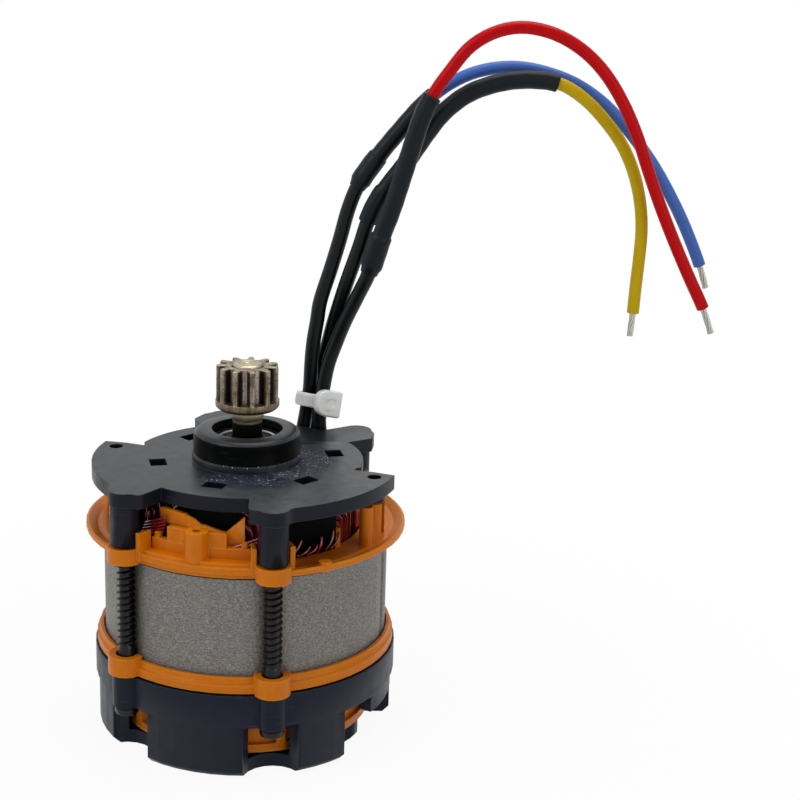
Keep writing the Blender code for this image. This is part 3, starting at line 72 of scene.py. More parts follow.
PLATE_TOP = 47.0
PLATE_LOW = 44.6
BOSS_R, BOSS_TOP = 9.0, 52.3
GROOVE_R = 23.6
PINION_BOTTOM, TEETH_BOTTOM, PINION_TOP = 55.5, 57.1, 63.0
TOOTH_ROOT_R, TOOTH_TIP_R = 3.5, 5.2
SHEETS_PER_MM = 2.857


# Surface finishes

WHITE = (1.0, 1.0, 1.0, 1.0)


def paint(red, green, blue):
    """A colour from 0 to 255 a channel, as light."""
    return tuple(c / 3294.6 if c <= 10 else ((c / 255 + 0.055) / 1.055) ** 2.4 for c in (red, green, blue))


def toned(colour, factor):
    return tuple(min(1.0, c * factor) for c in colour)


class Amount:
    """A number that changes over a surface. Arithmetic on it adds the nodes."""

    def __init__(self, nodes, socket):
        self.nodes = nodes
        self.socket = socket

    def __add__(self, other):
        return self.nodes.math("ADD", self, other)

    def __sub__(self, other):
        return self.nodes.math("SUBTRACT", self, other)

    def __rsub__(self, other):
        return self.nodes.math("SUBTRACT", other, self)

    def __mul__(self, other):
        return self.nodes.math("MULTIPLY", self, other)

    def above(self, edge, softness):
        """0 below the edge, 1 above it, with a soft step between."""
        inputs = {"Value": self, "From Min": edge, "From Max": edge + softness}
        return self.nodes.amount("MapRange", inputs, {"interpolation_type": "SMOOTHSTEP"})

    def below(self, edge, softness):
        return 1 - self.above(edge, softness)


class Nodes:
    """A node tree whose nodes are made where a formula needs them."""

    def __init__(self, tree, family="ShaderNode"):
        self.tree = tree
        self.family = family

    def join(self, target, value):
        """Links the socket to an output, or sets its value."""
        if isinstance(value, Amount):
            value = value.socket
        if isinstance(value, bpy.types.NodeSocket):
            self.tree.links.new(value, target)
        else:
            target.default_value = value

    def node(self, kind, inputs=(), settings=(), output=0):
        """An output of a new node, with its settings made before its sockets are filled."""
        made = self.tree.nodes.new(self.family + kind)
        for setting, value in dict(settings).items():
            setattr(made, setting, value)
        for socket, value in dict(inputs).items():
            self.join(made.inputs[socket], value)
        return made.outputs[output]

    def amount(self, *args, **kwargs):
        return Amount(self, self.node(*args, **kwargs))

    def math(self, operation, *values):
        return self.amount("Math", dict(enumerate(values)), {"operation": operation})

    def seen(self):
        """1 for what the camera sees by itself, mirrored or through something clear, else 0."""
        kinds = ("Is Camera Ray", "Is Glossy Ray", "Is Transmission Ray")
        straight, mirrored, through = (self.amount("LightPath", output=kind) for kind in kinds)
        return self.math("MAXIMUM", self.math("MAXIMUM", straight, mirrored), through)


class Finish(Nodes):
    """One finish of the motor: a Principled shader and the patterns that feed it."""

    def __init__(self, name, colour, roughness, metal=0.0, **constants):
        self.name = name
        self.material = bpy.data.materials.new(name)
        self.material.use_nodes = True
        super().__init__(self.material.node_tree)
        self.shader = self.tree.nodes["Principled BSDF"]
        self.feed("Base Color", (*colour, 1.0))
        self.feed("Roughness", roughness)
        self.feed("Metallic", metal)
        for socket, value in constants.items():
            self.feed(socket.replace("_", " "), value)

    def feed(self, socket, value):
        self.join(self.shader.inputs[socket], value)

    def place(self, stretch=(1, 1, 1), turn=(0, 0, 0)):
        """Where the surface is, in millimetres."""
        here = self.node("TexCoord", output="Object")
        scale = tuple(s / MM for s in stretch)
        return self.node("Mapping", {"Vector": here, "Rotation": turn, "Scale": scale})

    def run(self, around, along):
        """Where the surface is on a lead: round it, and along it in millimetres."""
        here = self.node("UVMap", (), {"uv_map": "run"})
        return self.node("Mapping", {"Vector": here, "Scale": (around, along, 1)})

    def noise(self, fineness, detail=2.0, at=None, rough=0.5):
        inputs = {"Vector": at or self.place(), "Scale": fineness, "Detail": detail, "Roughness": rough}
        return self.amount("TexNoise", inputs, (), "Fac")

    def cells(self, fineness):
        """The distance to the nearest of many scattered points."""
        return self.amount("TexVoronoi", {"Vector": self.place(), "Scale": fineness}, (), "Distance")

    def axis(self, letter):
        return self.amount("SeparateXYZ", {0: self.place()}, (), letter)

    def from_shaft(self):
        """The distance from the shaft's axis, in millimetres."""
        across, back = self.axis("X"), self.axis("Y")
        return self.math("SQRT", across * across + back * back)

    def mix(self, share, low, high):
        """One colour where share is 0, the other where it is 1."""
        low, high = ((*c, 1.0) if isinstance(c, tuple) and len(c) == 3 else c for c in (low, high))
        return self.node("Mix", {0: share, 6: low, 7: high}, {"data_type": "RGBA"}, 2)

    def over(self, shade, *coats):
        """The shade under further colours, each given as (share, red, green, blue)."""
        for share, *colour in coats:
            shade = self.mix(share, shade, paint(*colour))
        return shade

    def rounded(self, reach):
        """The surface's direction, bent round its edges over this many millimetres."""
        return self.node("Bevel", {"Radius": reach * MM}, {"samples": 6})

    def edges(self, reach):
        """1 on an edge, 0 a little way from it."""
        flat = self.node("NewGeometry", output="Normal")
        inputs = {0: self.rounded(reach), 1: flat}
        match = self.amount("VectorMath", inputs, {"operation": "DOT_PRODUCT"}, "Value")
        return match.below(0.93, 0.06)

    def dress(self, colour, roughness, height, depth, soft_edge=0.0):
        """Feeds the shader, with bumps of this depth over edges rounded by soft_edge, in millimetres."""
        self.feed("Base Color", colour)
        self.feed("Roughness", roughness)
        inputs = {"Height": height, "Distance": depth * MM, "Strength": 1.0}
        if soft_edge:
            inputs["Normal"] = self.rounded(soft_edge)
        self.feed("Normal", self.node("Bump", inputs))
        return self


def moulded_black(name, colour, roughness, shine=0.27):
    finish = Finish(name, colour, roughness, Specular_IOR_Level=shine)
    grain = finish.noise(5.0, 3.0)
    cloud = finish.noise(0.09, 3.0)
    scuff = finish.noise(0.9, 4.0, finish.place((0.25, 1.0, 2.2), (0.3, 0.2, 0.7))).above(0.62, 0.12)
    shade = finish.mix(cloud, toned(colour, 0.75), toned(colour, 1.35))
    # The scuffs are wear; the paler colour laid along every edge is a painted highlight.
    shade = finish.over(shade, (scuff * 0.1, 84, 88, 98), (finish.edges(0.16) * 0.3, 92, 98, 106))
    rough = finish.noise(0.5, 3.0) * 0.14 + (roughness - 0.07) + scuff * 0.1
    if name == "plate_black":
        shade, rough = boss_dust_and_sheen(finish, shade, rough)
    return finish.dress(shade, rough, grain + scuff * 0.8, 0.012, 0.26)


def boss_dust_and_sheen(finish, shade, rough):
    """Old grease with pale dust in it, on the plate before the boss and to the right of it, and further out a
    pale haze that is partly dust and partly painted sheen.
    """
    up = finish.axis("Z")
    on_top = up.above(PLATE_TOP - 0.5, 0.1)
    aside = finish.axis("X") * 0.94 - finish.axis("Y") * 0.34
    reach = finish.noise(0.22, 3.0) * 7.0 + finish.from_shaft()
    near_boss = reach.below(16.0, 3.5) * aside.above(0.0, 3.5) * on_top * up.below(PLATE_TOP + 1.2, 0.6)
    film = finish.noise(0.5, 4.0).above(0.3, 0.3) * near_boss
    dust = finish.cells(3.6).below(0.24, 0.14) * finish.noise(0.9, 3.0).above(0.42, 0.12) * near_boss
    specks = finish.cells(2.1).below(0.15, 0.08) * finish.noise(0.6, 3.0).above(0.44, 0.08) * near_boss
    # The pale haze further out to the right is partly dust and partly painted sheen.
    haze = reach.above(17.5, 3.0) * aside.above(3.0, 5.0) * finish.noise(0.7, 4.0) * on_top
    shade = finish.over(
        shade, (haze * 0.5, 104, 110, 114), (film * 0.8, 17, 22, 40), (dust * 0.38, 120, 134, 164),
        (specks * 0.95, 214, 222, 232),
    )
    return shade, rough + film * 0.22


def insulator_orange():
    deep, bright = paint(196, 100, 1), paint(224, 130, 5)
    finish = Finish(
        "insulator_orange", bright, 0.38, Specular_IOR_Level=0.18,
        Subsurface_Weight=0.1, Subsurface_Radius=(1.0, 0.5, 0.1), Subsurface_Scale=0.001,
    )
    flow = finish.noise(0.16, 3.0)
    fibre = finish.noise(1.8, 3.0, finish.place((1.0, 1.0, 0.35)))
    grime = finish.noise(0.6, 5.0).above(0.66, 0.1)
    shade = finish.mix(flow * 0.6 + fibre * 0.4, deep, bright)
    # The grime is dirt; the paler amber laid along every edge is a painted highlight.
    shade = finish.over(shade, (grime * 0.16, 110, 56, 12), (finish.edges(0.22) * 0.55, 246, 168, 44))
    return finish.dress(shade, fibre * 0.16 + 0.3, fibre + grime * 0.6, 0.012, 0.18)


def lamination_steel():
    """Thin punched sheets, with their cut edges smeared into one another."""
    finish = Finish("lamination_steel", paint(140, 137, 131), 0.5, 0.5)
    within = finish.math("FRACT", finish.axis("Z") * SHEETS_PER_MM)
    seam = finish.math("ABSOLUTE", within - 0.5).above(0.32, 0.18)
    smear = finish.noise(2.8, 5.0, finish.place((0.4, 0.4, 1.9)), 0.7)
    flecks = finish.noise(3.4, 3.0, finish.place((0.6, 0.6, 1.5)), 0.6).above(0.42, 0.22)
    speck = finish.noise(6.0, 3.0, None, 0.7).above(0.36, 0.3)
    rust = finish.noise(0.35, 4.0).above(0.6, 0.16)
    light = smear * 0.5 + flecks * 0.3 + speck * 0.44 - 0.2
    shade = finish.mix(light, paint(75, 74, 71), paint(171, 168, 162))
    # Painted shade: steel nearer the shaft than GROOVE_R, in the stack's grooves, is laid over near black.
    groove = finish.from_shaft().below(GROOVE_R, 0.2)
    shade = finish.over(
        shade, (seam * 0.16, 70, 68, 66), (groove * 0.9, 14, 14, 14), (rust * 0.14, 122, 104, 84),
    )
    return finish.dress(shade, smear * 0.2 + 0.44, smear * 0.6 + speck * 0.7 - seam * 0.4, 0.03, 0.1)


def coil_enamel():
    finish = Finish("coil_enamel", paint(130, 20, 34), 0.2, 0.2, Coat_Weight=1.0, Coat_Roughness=0.12)
    tone = finish.noise(0.5, 3.0)
    # The pale pink streaks that thin lays over the enamel are painted highlights.
    thin = finish.noise(1.6, 3.0).above(0.62, 0.12)
    shade = finish.mix(tone, paint(92, 8, 22), paint(176, 42, 58))
    shade = finish.over(shade, (thin * 0.35, 224, 140, 134))
    return finish.dress(shade, tone * 0.2 + 0.14, finish.noise(6.0), 0.008)


def black_oxide():
    finish = Finish("screw_black", paint(16, 16, 17), 0.36, 0.5)
    worn = finish.noise(1.4, 4.0).above(0.6, 0.14)
    shade = finish.mix(worn * 0.3, paint(13, 13, 14), paint(70, 70, 72))
    return finish.dress(shade, worn * 0.15 + 0.3, finish.noise(5.0, 3.0), 0.012, 0.08)


def bright_steel(name, colour, roughness):
    """Ground steel, near black where the shaft and the bearing sit down in the boss: painted shade, with old
    grease.
    """
    finish = Finish(name, colour, roughness, 1.0)
    lathe = finish.noise(1.6, 4.0, finish.place((0.25, 0.25, 7.0)))
    stain = finish.noise(0.5, 3.0).above(0.56, 0.2)
    shade = finish.mix(lathe, toned(colour, 0.75), toned(colour, 1.15))
    # Painted shade, with some old grease: the bearing is near black but for a bare ring, and the shaft near
    # black below the top of the boss.
    if name == "bearing_steel":
        from_shaft = finish.from_shaft()
        unshaded_ring = from_shaft.above(4.6, 0.08) * from_shaft.below(5.1, 0.1)
        grease = 1 - unshaded_ring - from_shaft.above(6.2, 0.1)
    else:
        grease = finish.axis("Z").below(BOSS_TOP + 0.8, 0.4)
    shade = finish.over(shade, (stain * 0.25, 126, 112, 90), (grease * 0.985, 11, 11, 11))
    rough = lathe * 0.18 + (roughness - 0.08) + grease * 0.2
    return finish.dress(shade, rough, lathe, 0.006, 0.12)


def sintered_steel():
    """Pressed powder metal: brown grey, with open pores, patches of old oil, and painted shade deep between
    its teeth.
    """
    finish = Finish("pinion_steel", paint(120, 110, 94), 0.42, 0.8)
    from_shaft, up = finish.from_shaft(), finish.axis("Z")
    grain = finish.noise(2.6, 5.0, None, 0.7)
    pores = finish.cells(2.6).below(0.2, 0.12) * finish.noise(1.2).above(0.4, 0.15)
    oil = finish.noise(0.6, 4.0, None, 0.6).above(0.46, 0.16)
    streaks = finish.noise(1.3, 3.0, finish.place((1.6, 1.6, 0.2))).above(0.38, 0.2)
    rubbed = streaks * from_shaft.above(TOOTH_TIP_R - 0.25, 0.15)
    between = up.above(TEETH_BOTTOM + 0.05, 0.05) * up.below(PINION_TOP - 0.3, 0.2)
    # Painted shade: the flanks low between the teeth are laid over near black.
    flank = from_shaft.above(TOOTH_ROOT_R + 0.16, 0.12) * from_shaft.below(TOOTH_ROOT_R + 1.0, 0.5) * between
    floor = from_shaft.below(TOOTH_ROOT_R + 0.2, 0.1) * between
    shade = finish.over(
        finish.mix(grain, paint(48, 38, 26), paint(132, 120, 100)),
        (up.above(PINION_TOP - 0.2, 0.05) * 0.55, 166, 157, 136), (rubbed * 0.38, 196, 187, 168),
        (oil * 0.5, 58, 44, 24), (up.below(TEETH_BOTTOM - 0.1, 0.1) * 0.7, 88, 76, 48),
        (flank * 0.9, 22, 14, 8), (floor * 0.7, 146, 136, 128), (pores * 0.9, 22, 18, 14),
    )
    return finish.dress(shade, grain * 0.2 + 0.26 + pores * 0.3, grain - pores * 1.5, 0.03, 0.1)


def plain_metal(name, colour, roughness):
    finish = Finish(name, colour, roughness, 1.0)
    haze = finish.noise(0.8, 4.0)
    shade = finish.mix(haze, toned(colour, 0.8), colour)
    return finish.dress(shade, haze * 0.2 + (roughness - 0.1), haze, 0.01, 0.1)


def lead_skin(name, colour, roughness, shine):
    """The skin of a lead: faint lines along it, and marks from handling."""
    finish = Finish(name, colour, roughness, Specular_IOR_Level=shine)
    lines = finish.noise(1.0, 3.0, finish.run(24.0, 0.05))
    tone = finish.noise(1.0, 3.0, finish.run(2.0, 0.16))
    mark = finish.noise(1.0, 4.0, finish.run(7.0, 0.9)).above(0.66, 0.1)
    shade = finish.mix(tone, toned(colour, 0.84), toned(colour, 1.12))
    shade = finish.mix(mark * 0.22, shade, tuple(c * 0.45 + 0.02 for c in colour))
    rough = lines * 0.2 + (roughness - 0.1) + mark * 0.1
    return finish.dress(shade, rough, lines * 0.6 + mark * 0.5 + finish.noise(4.0), 0.008)


def shrink_skin():
    """Heat-shrunk sleeve: fine creases across it where it drew in, and soft lines along it."""
    finish = Finish("sleeve_black", paint(14, 17, 17), 0.4, Specular_IOR_Level=0.15)
    creases = finish.noise(1.0, 3.0, finish.run(3.0, 1.5), 0.6)
    lines = finish.noise(1.0, 2.0, finish.run(14.0, 0.08))
    patch = finish.noise(1.0, 2.0, finish.run(2.0, 0.2)).above(0.5, 0.2)
    shade = finish.mix(lines, paint(6, 10, 11), paint(24, 32, 40))
    return finish.dress(shade, lines * 0.18 + 0.3, lines * 0.5 + creases * patch, 0.06)


def tie_nylon():
    finish = Finish(
        "tie_nylon", paint(238, 239, 236), 0.34,
        Subsurface_Weight=0.35, Subsurface_Radius=(1.0, 1.0, 0.95), Subsurface_Scale=0.0016,
    )
    milk = finish.noise(0.9, 3.0)
    shade = finish.mix(milk, paint(224, 227, 224), paint(248, 249, 246))
    return finish.dress(shade, milk * 0.2 + 0.26, finish.noise(3.0, 3.0), 0.02)


def all_finishes():
    made = [
        moulded_black("housing_black", paint(19, 25, 40), 0.4, 0.14),
        moulded_black("plate_black", paint(21, 24, 28), 0.36),
        # The plate's sides and underside get a darker copy of its finish with less sheen: painted shade.
        moulded_black("plate_side", paint(18, 23, 32), 0.36, 0.14),
        moulded_black("deep_black", paint(6, 7, 7), 0.3, 0.02),
        moulded_black("fan_black", paint(22, 23, 25), 0.48),
        insulator_orange(), lamination_steel(), coil_enamel(), black_oxide(), sintered_steel(),
        bright_steel("bearing_steel", paint(190, 190, 188), 0.3),
        bright_steel("shaft_steel", paint(170, 160, 136), 0.4),
        plain_metal("magnet_grey", paint(150, 150, 154), 0.35),
        plain_metal("disc_brass", paint(196, 164, 100), 0.38),
        plain_metal("tinned_copper", paint(190, 188, 180), 0.34),
        lead_skin("lead_black", paint(12, 15, 17), 0.34, 0.17),
        lead_skin("wire_red", paint(197, 0, 8), 0.36, 0.12),
        lead_skin("wire_blue", paint(72, 112, 194), 0.38, 0.2),
        lead_skin("wire_yellow", paint(203, 172, 0), 0.36, 0.14),
        shrink_skin(), tie_nylon(),
    ]
    return {finish.name: finish.material for finish in made}


FINISHES = all_finishes()


# Making pieces

def polar(radius, angle, z=0.0):
    """A place at this angle in degrees, counted from the front towards the right."""
    turn = radians(angle)
    return Vector((radius * sin(turn), -radius * cos(turn), z))


def circle(radius, count, z):
    turns = (2 * pi * i / count for i in range(count))
    return [Vector((radius * cos(a), radius * sin(a), z)) for a in turns]


def corner(x, z, across, along, start):
    """Six points on a quarter of an ellipse about (x, z), from this angle on."""
    turns = [radians(start + 18 * j) for j in range(6)]
    return [(x + across * cos(a), z + along * sin(a)) for a in turns]


def link(name, data):
    obj = bpy.data.objects.new(name, data)
    scene.collection.objects.link(obj)
    return obj


def sketch(name, points, edges=()):
    """An object of bare points and edges, for a tree to work on."""
    mesh = bpy.data.meshes.new(name)
    mesh.from_pydata(points, edges, ())
    return link(name, mesh)


def as_mesh(bm, name):
    """The shape as a mesh. The shape itself is used up."""
    mesh = bpy.data.meshes.new(name)
    bm.to_mesh(mesh)
    bm.free()
    return mesh


def piece(name, bm, finish, stands_for=(), crease=32.0, finishes=(), body="stator"):
    """A finished piece: in metres, shaded, and riding on its body."""
    bmesh.ops.scale(bm, vec=(MM, MM, MM), verts=bm.verts)
    mesh = as_mesh(bm, name)
    for slot in finishes or (finish,):
        mesh.materials.append(FINISHES[slot])
    mesh.shade_smooth()
    mesh.set_sharp_from_angle(angle=radians(crease))
    obj = link(name, mesh)
    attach(obj, body)
    if stands_for:
        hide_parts(*stands_for)
    return obj


def facing_out(bm):
    bmesh.ops.recalc_face_normals(bm, faces=bm.faces)
    return bm


def bridge(bm, rows):
    """Faces between closed rings of corners, each ring joined to the next."""
    for low, high in zip(rows, rows[1:]):
        for i in range(len(low)):
            bm.faces.new((low[i - 1], low[i], high[i], high[i - 1]))


def turned(profile, count):
    """A closed profile of (radius, height) points, turned about the shaft's axis."""
    bm = bmesh.new()
    rings = []
    for radius, z in profile:
        if radius < 1e-6:
            rings.append([bm.verts.new((0, 0, z))] * count)
        else:
            rings.append([bm.verts.new(p) for p in circle(radius, count, z)])
    for k in range(len(rings)):
        low, high = rings[k - 1], rings[k]
        for i in range(count):
            face = list(dict.fromkeys((low[i - 1], low[i], high[i], high[i - 1])))
            if len(face) > 2:
                bm.faces.new(face)
    return facing_out(bm)


def lofted(rings):
    """Closed rings of points joined one to the next, with both ends capped."""
    bm = bmesh.new()
    rows = [[bm.verts.new(p) for p in ring] for ring in rings]
    bridge(bm, rows)
    bm.faces.new(rows[0])
    bm.faces.new(rows[-1])
    return facing_out(bm)


def joined(*shapes):
    """Several shapes in one piece."""
    whole = bmesh.new()
    for shape in shapes:
        mesh = as_mesh(shape, "part")
        whole.from_mesh(mesh)
        bpy.data.meshes.remove(mesh)
    return whole


def merged_copy(node):
    """A CAD node's own shape in millimetres, its loose triangles merged into whole faces."""
    bm = bmesh.new()
    bm.from_mesh(frame["nodes"][node].data)
    bmesh.ops.scale(bm, vec=(1 / MM, 1 / MM, 1 / MM), verts=bm.verts)
    bmesh.ops.remove_doubles(bm, verts=bm.verts, dist=0.004)
    bmesh.ops.dissolve_limit(bm, angle_limit=radians(0.6), verts=bm.verts, edges=bm.edges)
    return bm


# Trees for what repeats or follows a path

def growth_tree(name, **inputs):
    """A geometry tree that takes a shape and these inputs, and what it is given."""
    tree = bpy.data.node_groups.new(name, "GeometryNodeTree")
    for way in ("OUTPUT", "INPUT"):
        tree.interface.new_socket("Geometry", in_out=way, socket_type="NodeSocketGeometry")
    for label, kind in inputs.items():
        tree.interface.new_socket(label, in_out="INPUT", socket_type=f"NodeSocket{kind}")
    return Nodes(tree, "GeometryNode"), tree.nodes.new("NodeGroupInput").outputs


def end_tree(nodes, given, shape, smooth=True):
    """Gives what has grown its shading and finish, and hands it out."""
    if smooth:
        shape = nodes.node("SetShadeSmooth", {"Geometry": shape})
    shape = nodes.node("RealizeInstances", {"Geometry": shape})
    shape = nodes.node("SetMaterial", {"Geometry": shape, "Material": given["Finish"]})
    nodes.join(nodes.tree.nodes.new("NodeGroupOutput").inputs["Geometry"], shape)
    return nodes.tree


def wire_tree():
    """Draws a round wire along every chain of edges."""
    nodes, given = growth_tree("wound_wire", Radius="Float", Sides="Int", Finish="Material")
    path = nodes.node("MeshToCurve", {"Mesh": given["Geometry"]})
    section = {"Resolution": given["Sides"], "Radius": given["Radius"]}
    ring = nodes.node("CurvePrimitiveCircle", section)
    inputs = {"Curve": path, "Profile Curve": ring, "Fill Caps": True}
    return end_tree(nodes, given, nodes.node("CurveToMesh", inputs))


def fastener_tree():
    """Stands a copy of the fastener on every point."""
    nodes, given = growth_tree("fastener_set", Fastener="Object", Finish="Material")
    one = nodes.node("ObjectInfo", {"Object": given["Fastener"]}, (), "Geometry")
    inputs = {"Points": given["Geometry"], "Instance": one}
    return end_tree(nodes, given, nodes.node("InstanceOnPoints", inputs), False)


def grown(obj, tree, **values):
    """What the tree makes of the object, as a plain shape. The object itself is used up."""
    modifier = obj.modifiers.new(tree.name, "NODES")
    modifier.node_group = tree
    for item in tree.interface.items_tree:
        if item.in_out == "INPUT" and item.name in values:
            modifier[item.identifier] = values[item.name]
    graph = bpy.context.evaluated_depsgraph_get()
    mesh = bpy.data.meshes.new_from_object(obj.evaluated_get(graph), depsgraph=graph)
    bpy.data.objects.remove(obj)
    bm = bmesh.new()
    bm.from_mesh(mesh)
    return facing_out(bm)


# Camera

def camera():
    """The photograph's camera. Its place and angles are given before the turn about the shaft."""
    yaw, pitch, roll, turn = (radians(a) for a in (5.05, 16.39, 1.78, 20.3))
    distance, height = 289.5, 142.5
    ahead = Vector((sin(yaw) * cos(pitch), cos(yaw) * cos(pitch), -sin(pitch)))
    level = Vector((cos(yaw), -sin(yaw), 0))
    above = level.cross(ahead)
    right = cos(roll) * level + sin(roll) * above
    up = -sin(roll) * level + cos(roll) * above
    spin = Matrix.Rotation(turn, 3, "Z")
    facing = spin @ Matrix((right, up, -ahead)).transposed()
    data = bpy.data.cameras.new("camera")
    data.lens = 81.0
    data.clip_start = 0.01
    obj = link("camera", data)
    place = spin @ Vector((0, -distance, height)) * MM
    obj.matrix_world = Matrix.Translation(place) @ facing.to_4x4()
    scene.camera = obj


# Leads

LEAD_TURN = 20.0
LEAD_R = 1.28
COLOURED_R = 1.08
STRAND_R = 0.19
COLOUR_INSIDE_SLEEVE = 6.0
# Each route runs across the leads' plane, back through it, and up, in millimetres.
BLUE_ROUTE = (
    (10.8, 19.8, 37.3), (10.2, 20.0, 41.0), (9.9, 20.1, 45.0), (10.4, 20.3, 48.5), (11.0, 20.1, 53.0),
    (11.2, 19.8, 58.0), (11.5, 19.6, 62.0), (12.1, 19.5, 66.0), (12.6, 19.4, 69.5), (14.4, 19.4, 75.5),
    (15.8, 19.4, 80.5), (17.2, 19.4, 86.0), (19.0, 19.4, 90.5), (22.1, 19.4, 95.1), (25.8, 19.3, 99.8),
    (29.7, 19.2, 104.3), (33.6, 19.1, 107.5), (37.6, 19.0, 109.6), (42.0, 18.9, 110.7), (46.6, 18.8, 110.8),
    (51.6, 18.7, 109.8), (56.2, 18.6, 108.0), (60.5, 18.5, 105.2), (63.9, 18.4, 102.0), (67.0, 18.3, 98.5),
    (70.3, 18.2, 94.2), (73.4, 18.1, 89.3), (76.3, 18.0, 84.0), (79.2, 17.9, 77.7), (80.9, 17.8, 72.9),
)
YELLOW_ROUTE = (
    (9.3, 21.3, 37.3), (9.6, 21.8, 41.0), (10.9, 22.8, 45.0), (11.9, 22.6, 48.5), (12.3, 22.5, 53.0),
    (13.4, 21.7, 58.0), (14.3, 20.9, 62.0), (15.2, 20.0, 66.0), (17.0, 17.8, 73.0), (19.0, 16.6, 79.5),
    (20.4, 16.1, 84.4), (22.1, 15.9, 88.3), (24.6, 15.8, 91.9), (27.2, 15.7, 95.4), (30.0, 15.6, 99.7),
    (32.9, 15.5, 103.5), (37.0, 15.4, 106.7), (42.2, 15.3, 108.6), (47.4, 15.2, 109.2), (52.4, 15.1, 108.6),
    (56.6, 15.0, 106.2), (60.3, 14.9, 102.7), (63.6, 14.8, 98.5), (65.9, 14.7, 93.8), (67.3, 14.6, 88.9),
    (67.9, 14.5, 84.0), (67.8, 14.4, 79.1), (67.5, 14.3, 73.8), (67.3, 14.2, 69.2), (67.0, 14.1, 64.9),
)
RED_ROUTE = (
    (14.3, 18.7, 37.3), (14.0, 18.6, 41.0), (13.0, 18.4, 45.0), (12.7, 18.4, 48.5), (13.3, 18.5, 53.5),
    (14.1, 18.5, 58.0), (15.4, 18.3, 62.0), (16.9, 17.4, 66.3), (18.9, 16.0, 71.1), (20.7, 14.2, 75.7),
    (22.4, 13.0, 81.8), (24.1, 12.3, 86.9), (25.6, 12.0, 92.1), (27.2, 11.9, 97.7), (28.7, 11.8, 102.7),
    (30.6, 11.7, 106.9), (33.2, 11.6, 110.8), (36.4, 11.5, 114.8), (40.5, 11.4, 117.3), (45.1, 11.3, 118.2),
    (50.2, 11.2, 117.3), (54.9, 11.1, 114.9), (58.9, 11.0, 111.3), (62.3, 10.9, 106.5), (65.2, 10.8, 100.8),
    (67.6, 10.7, 94.7), (70.0, 10.6, 88.9), (72.6, 10.5, 83.2), (75.6, 10.4, 77.1), (78.8, 10.3, 70.9),
    (80.5, 10.2, 66.5),
)


def lead_place(across, back, up):
    turn = radians(LEAD_TURN)
    x = across * cos(turn) - back * sin(turn)
    y = across * sin(turn) + back * cos(turn)
    return Vector((x, y, up))


class Route:
    """A lead's centreline: a smooth curve, measured along its length."""

    def __init__(self, places, per_span=14):
        padded = [2 * places[0] - places[1], *places, 2 * places[-1] - places[-2]]
        self.places = []
        for i in range(1, len(padded) - 2):
            a, b, c, d = padded[i - 1:i + 3]
            for k in range(per_span):
                t = k / per_span
                bend = 2 * a - 5 * b + 4 * c - d
                twist = 3 * (b - c) + d - a
                self.places.append(b + 0.5 * t * ((c - a) + t * (bend + t * twist)))
        self.places.append(places[-1])
        self.marks = [0.0]
        for a, b in zip(self.places, self.places[1:]):
            self.marks.append(self.marks[-1] + (b - a).length)
        self.length = self.marks[-1]
        self.sides = []
        side = Vector((0, -1, 0))
        for k in range(len(self.places)):
            ahead = self.heading(k)
            side = (side - ahead * side.dot(ahead)).normalized()
            self.sides.append(side)

    def heading(self, k):
        after, before = min(k + 1, len(self.places) - 1), max(k - 1, 0)
        return (self.places[after] - self.places[before]).normalized()

    def at(self, along):
        """The place at this length, and two directions across the lead."""
        k = 0
        while k < len(self.places) - 2 and self.marks[k + 1] < along:
            k += 1
        share = (along - self.marks[k]) / (self.marks[k + 1] - self.marks[k])
        spot = self.places[k].lerp(self.places[k + 1], share)
        ahead = self.heading(k).lerp(self.heading(k + 1), share).normalized()
        side = self.sides[k].lerp(self.sides[k + 1], share)
        side = (side - ahead * side.dot(ahead)).normalized()
        return spot, side, ahead.cross(side)


def skin(route, stops, sides=20, shape=None, offset=None):
    """A round skin along the route. Each stop is a length, a radius and the finish that starts there."""
    bm = bmesh.new()
    run = bm.loops.layers.uv.new("run")
    rows = []
    for along, radius, _ in stops:
        spot, side, over = route.at(min(max(along, 0.0), route.length))
        if offset:
            push, lift = offset(along)
            spot = spot + side * push + over * lift
        row = []
        for i in range(sides):
            turn = 2 * pi * i / sides
            reach = radius * (shape(along, turn) if shape else 1.0)
            row.append(bm.verts.new(spot + (side * cos(turn) + over * sin(turn)) * reach))
        rows.append(row)
    for k in range(1, len(rows)):
        start, end = stops[k - 1][0], stops[k][0]
        for i in range(sides):
            face = bm.faces.new((rows[k - 1][i - 1], rows[k - 1][i], rows[k][i], rows[k][i - 1]))
            face.material_index = stops[k - 1][2]
            left, right = (i - 1) % sides / sides, ((i - 1) % sides + 1) / sides
            for loop, spot in zip(face.loops, ((left, start), (right, start), (right, end), (left, end))):
                loop[run].uv = spot
    for row, stop in ((rows[0], stops[0]), (rows[-1], stops[-1])):
        bm.faces.new(row).material_index = stop[2]
    return facing_out(bm)


def spaced(start, end, step):
    count = max(1, round((end - start) / step))
    return [start + (end - start) * i / count for i in range(count + 1)]


def insulation(route, sleeve_end, bare_start):
    """Black from the motor into its sleeve, coloured from there, then the bare core."""
    change = sleeve_end - COLOUR_INSIDE_SLEEVE
    core = 2.0 * STRAND_R
    stops = [(s, LEAD_R, 0) for s in spaced(0.0, change - 0.1, 1.2)]
    stops += [(s, COLOURED_R, 1) for s in spaced(change, bare_start - 0.12, 1.2)]
    stops += [(bare_start - 0.03, COLOURED_R - 0.03, 1), (bare_start, COLOURED_R - 0.12, 1)]
    stops += [(bare_start + 0.02, core, 2), (route.length - 0.1, core, 2)]
    return skin(route, stops)


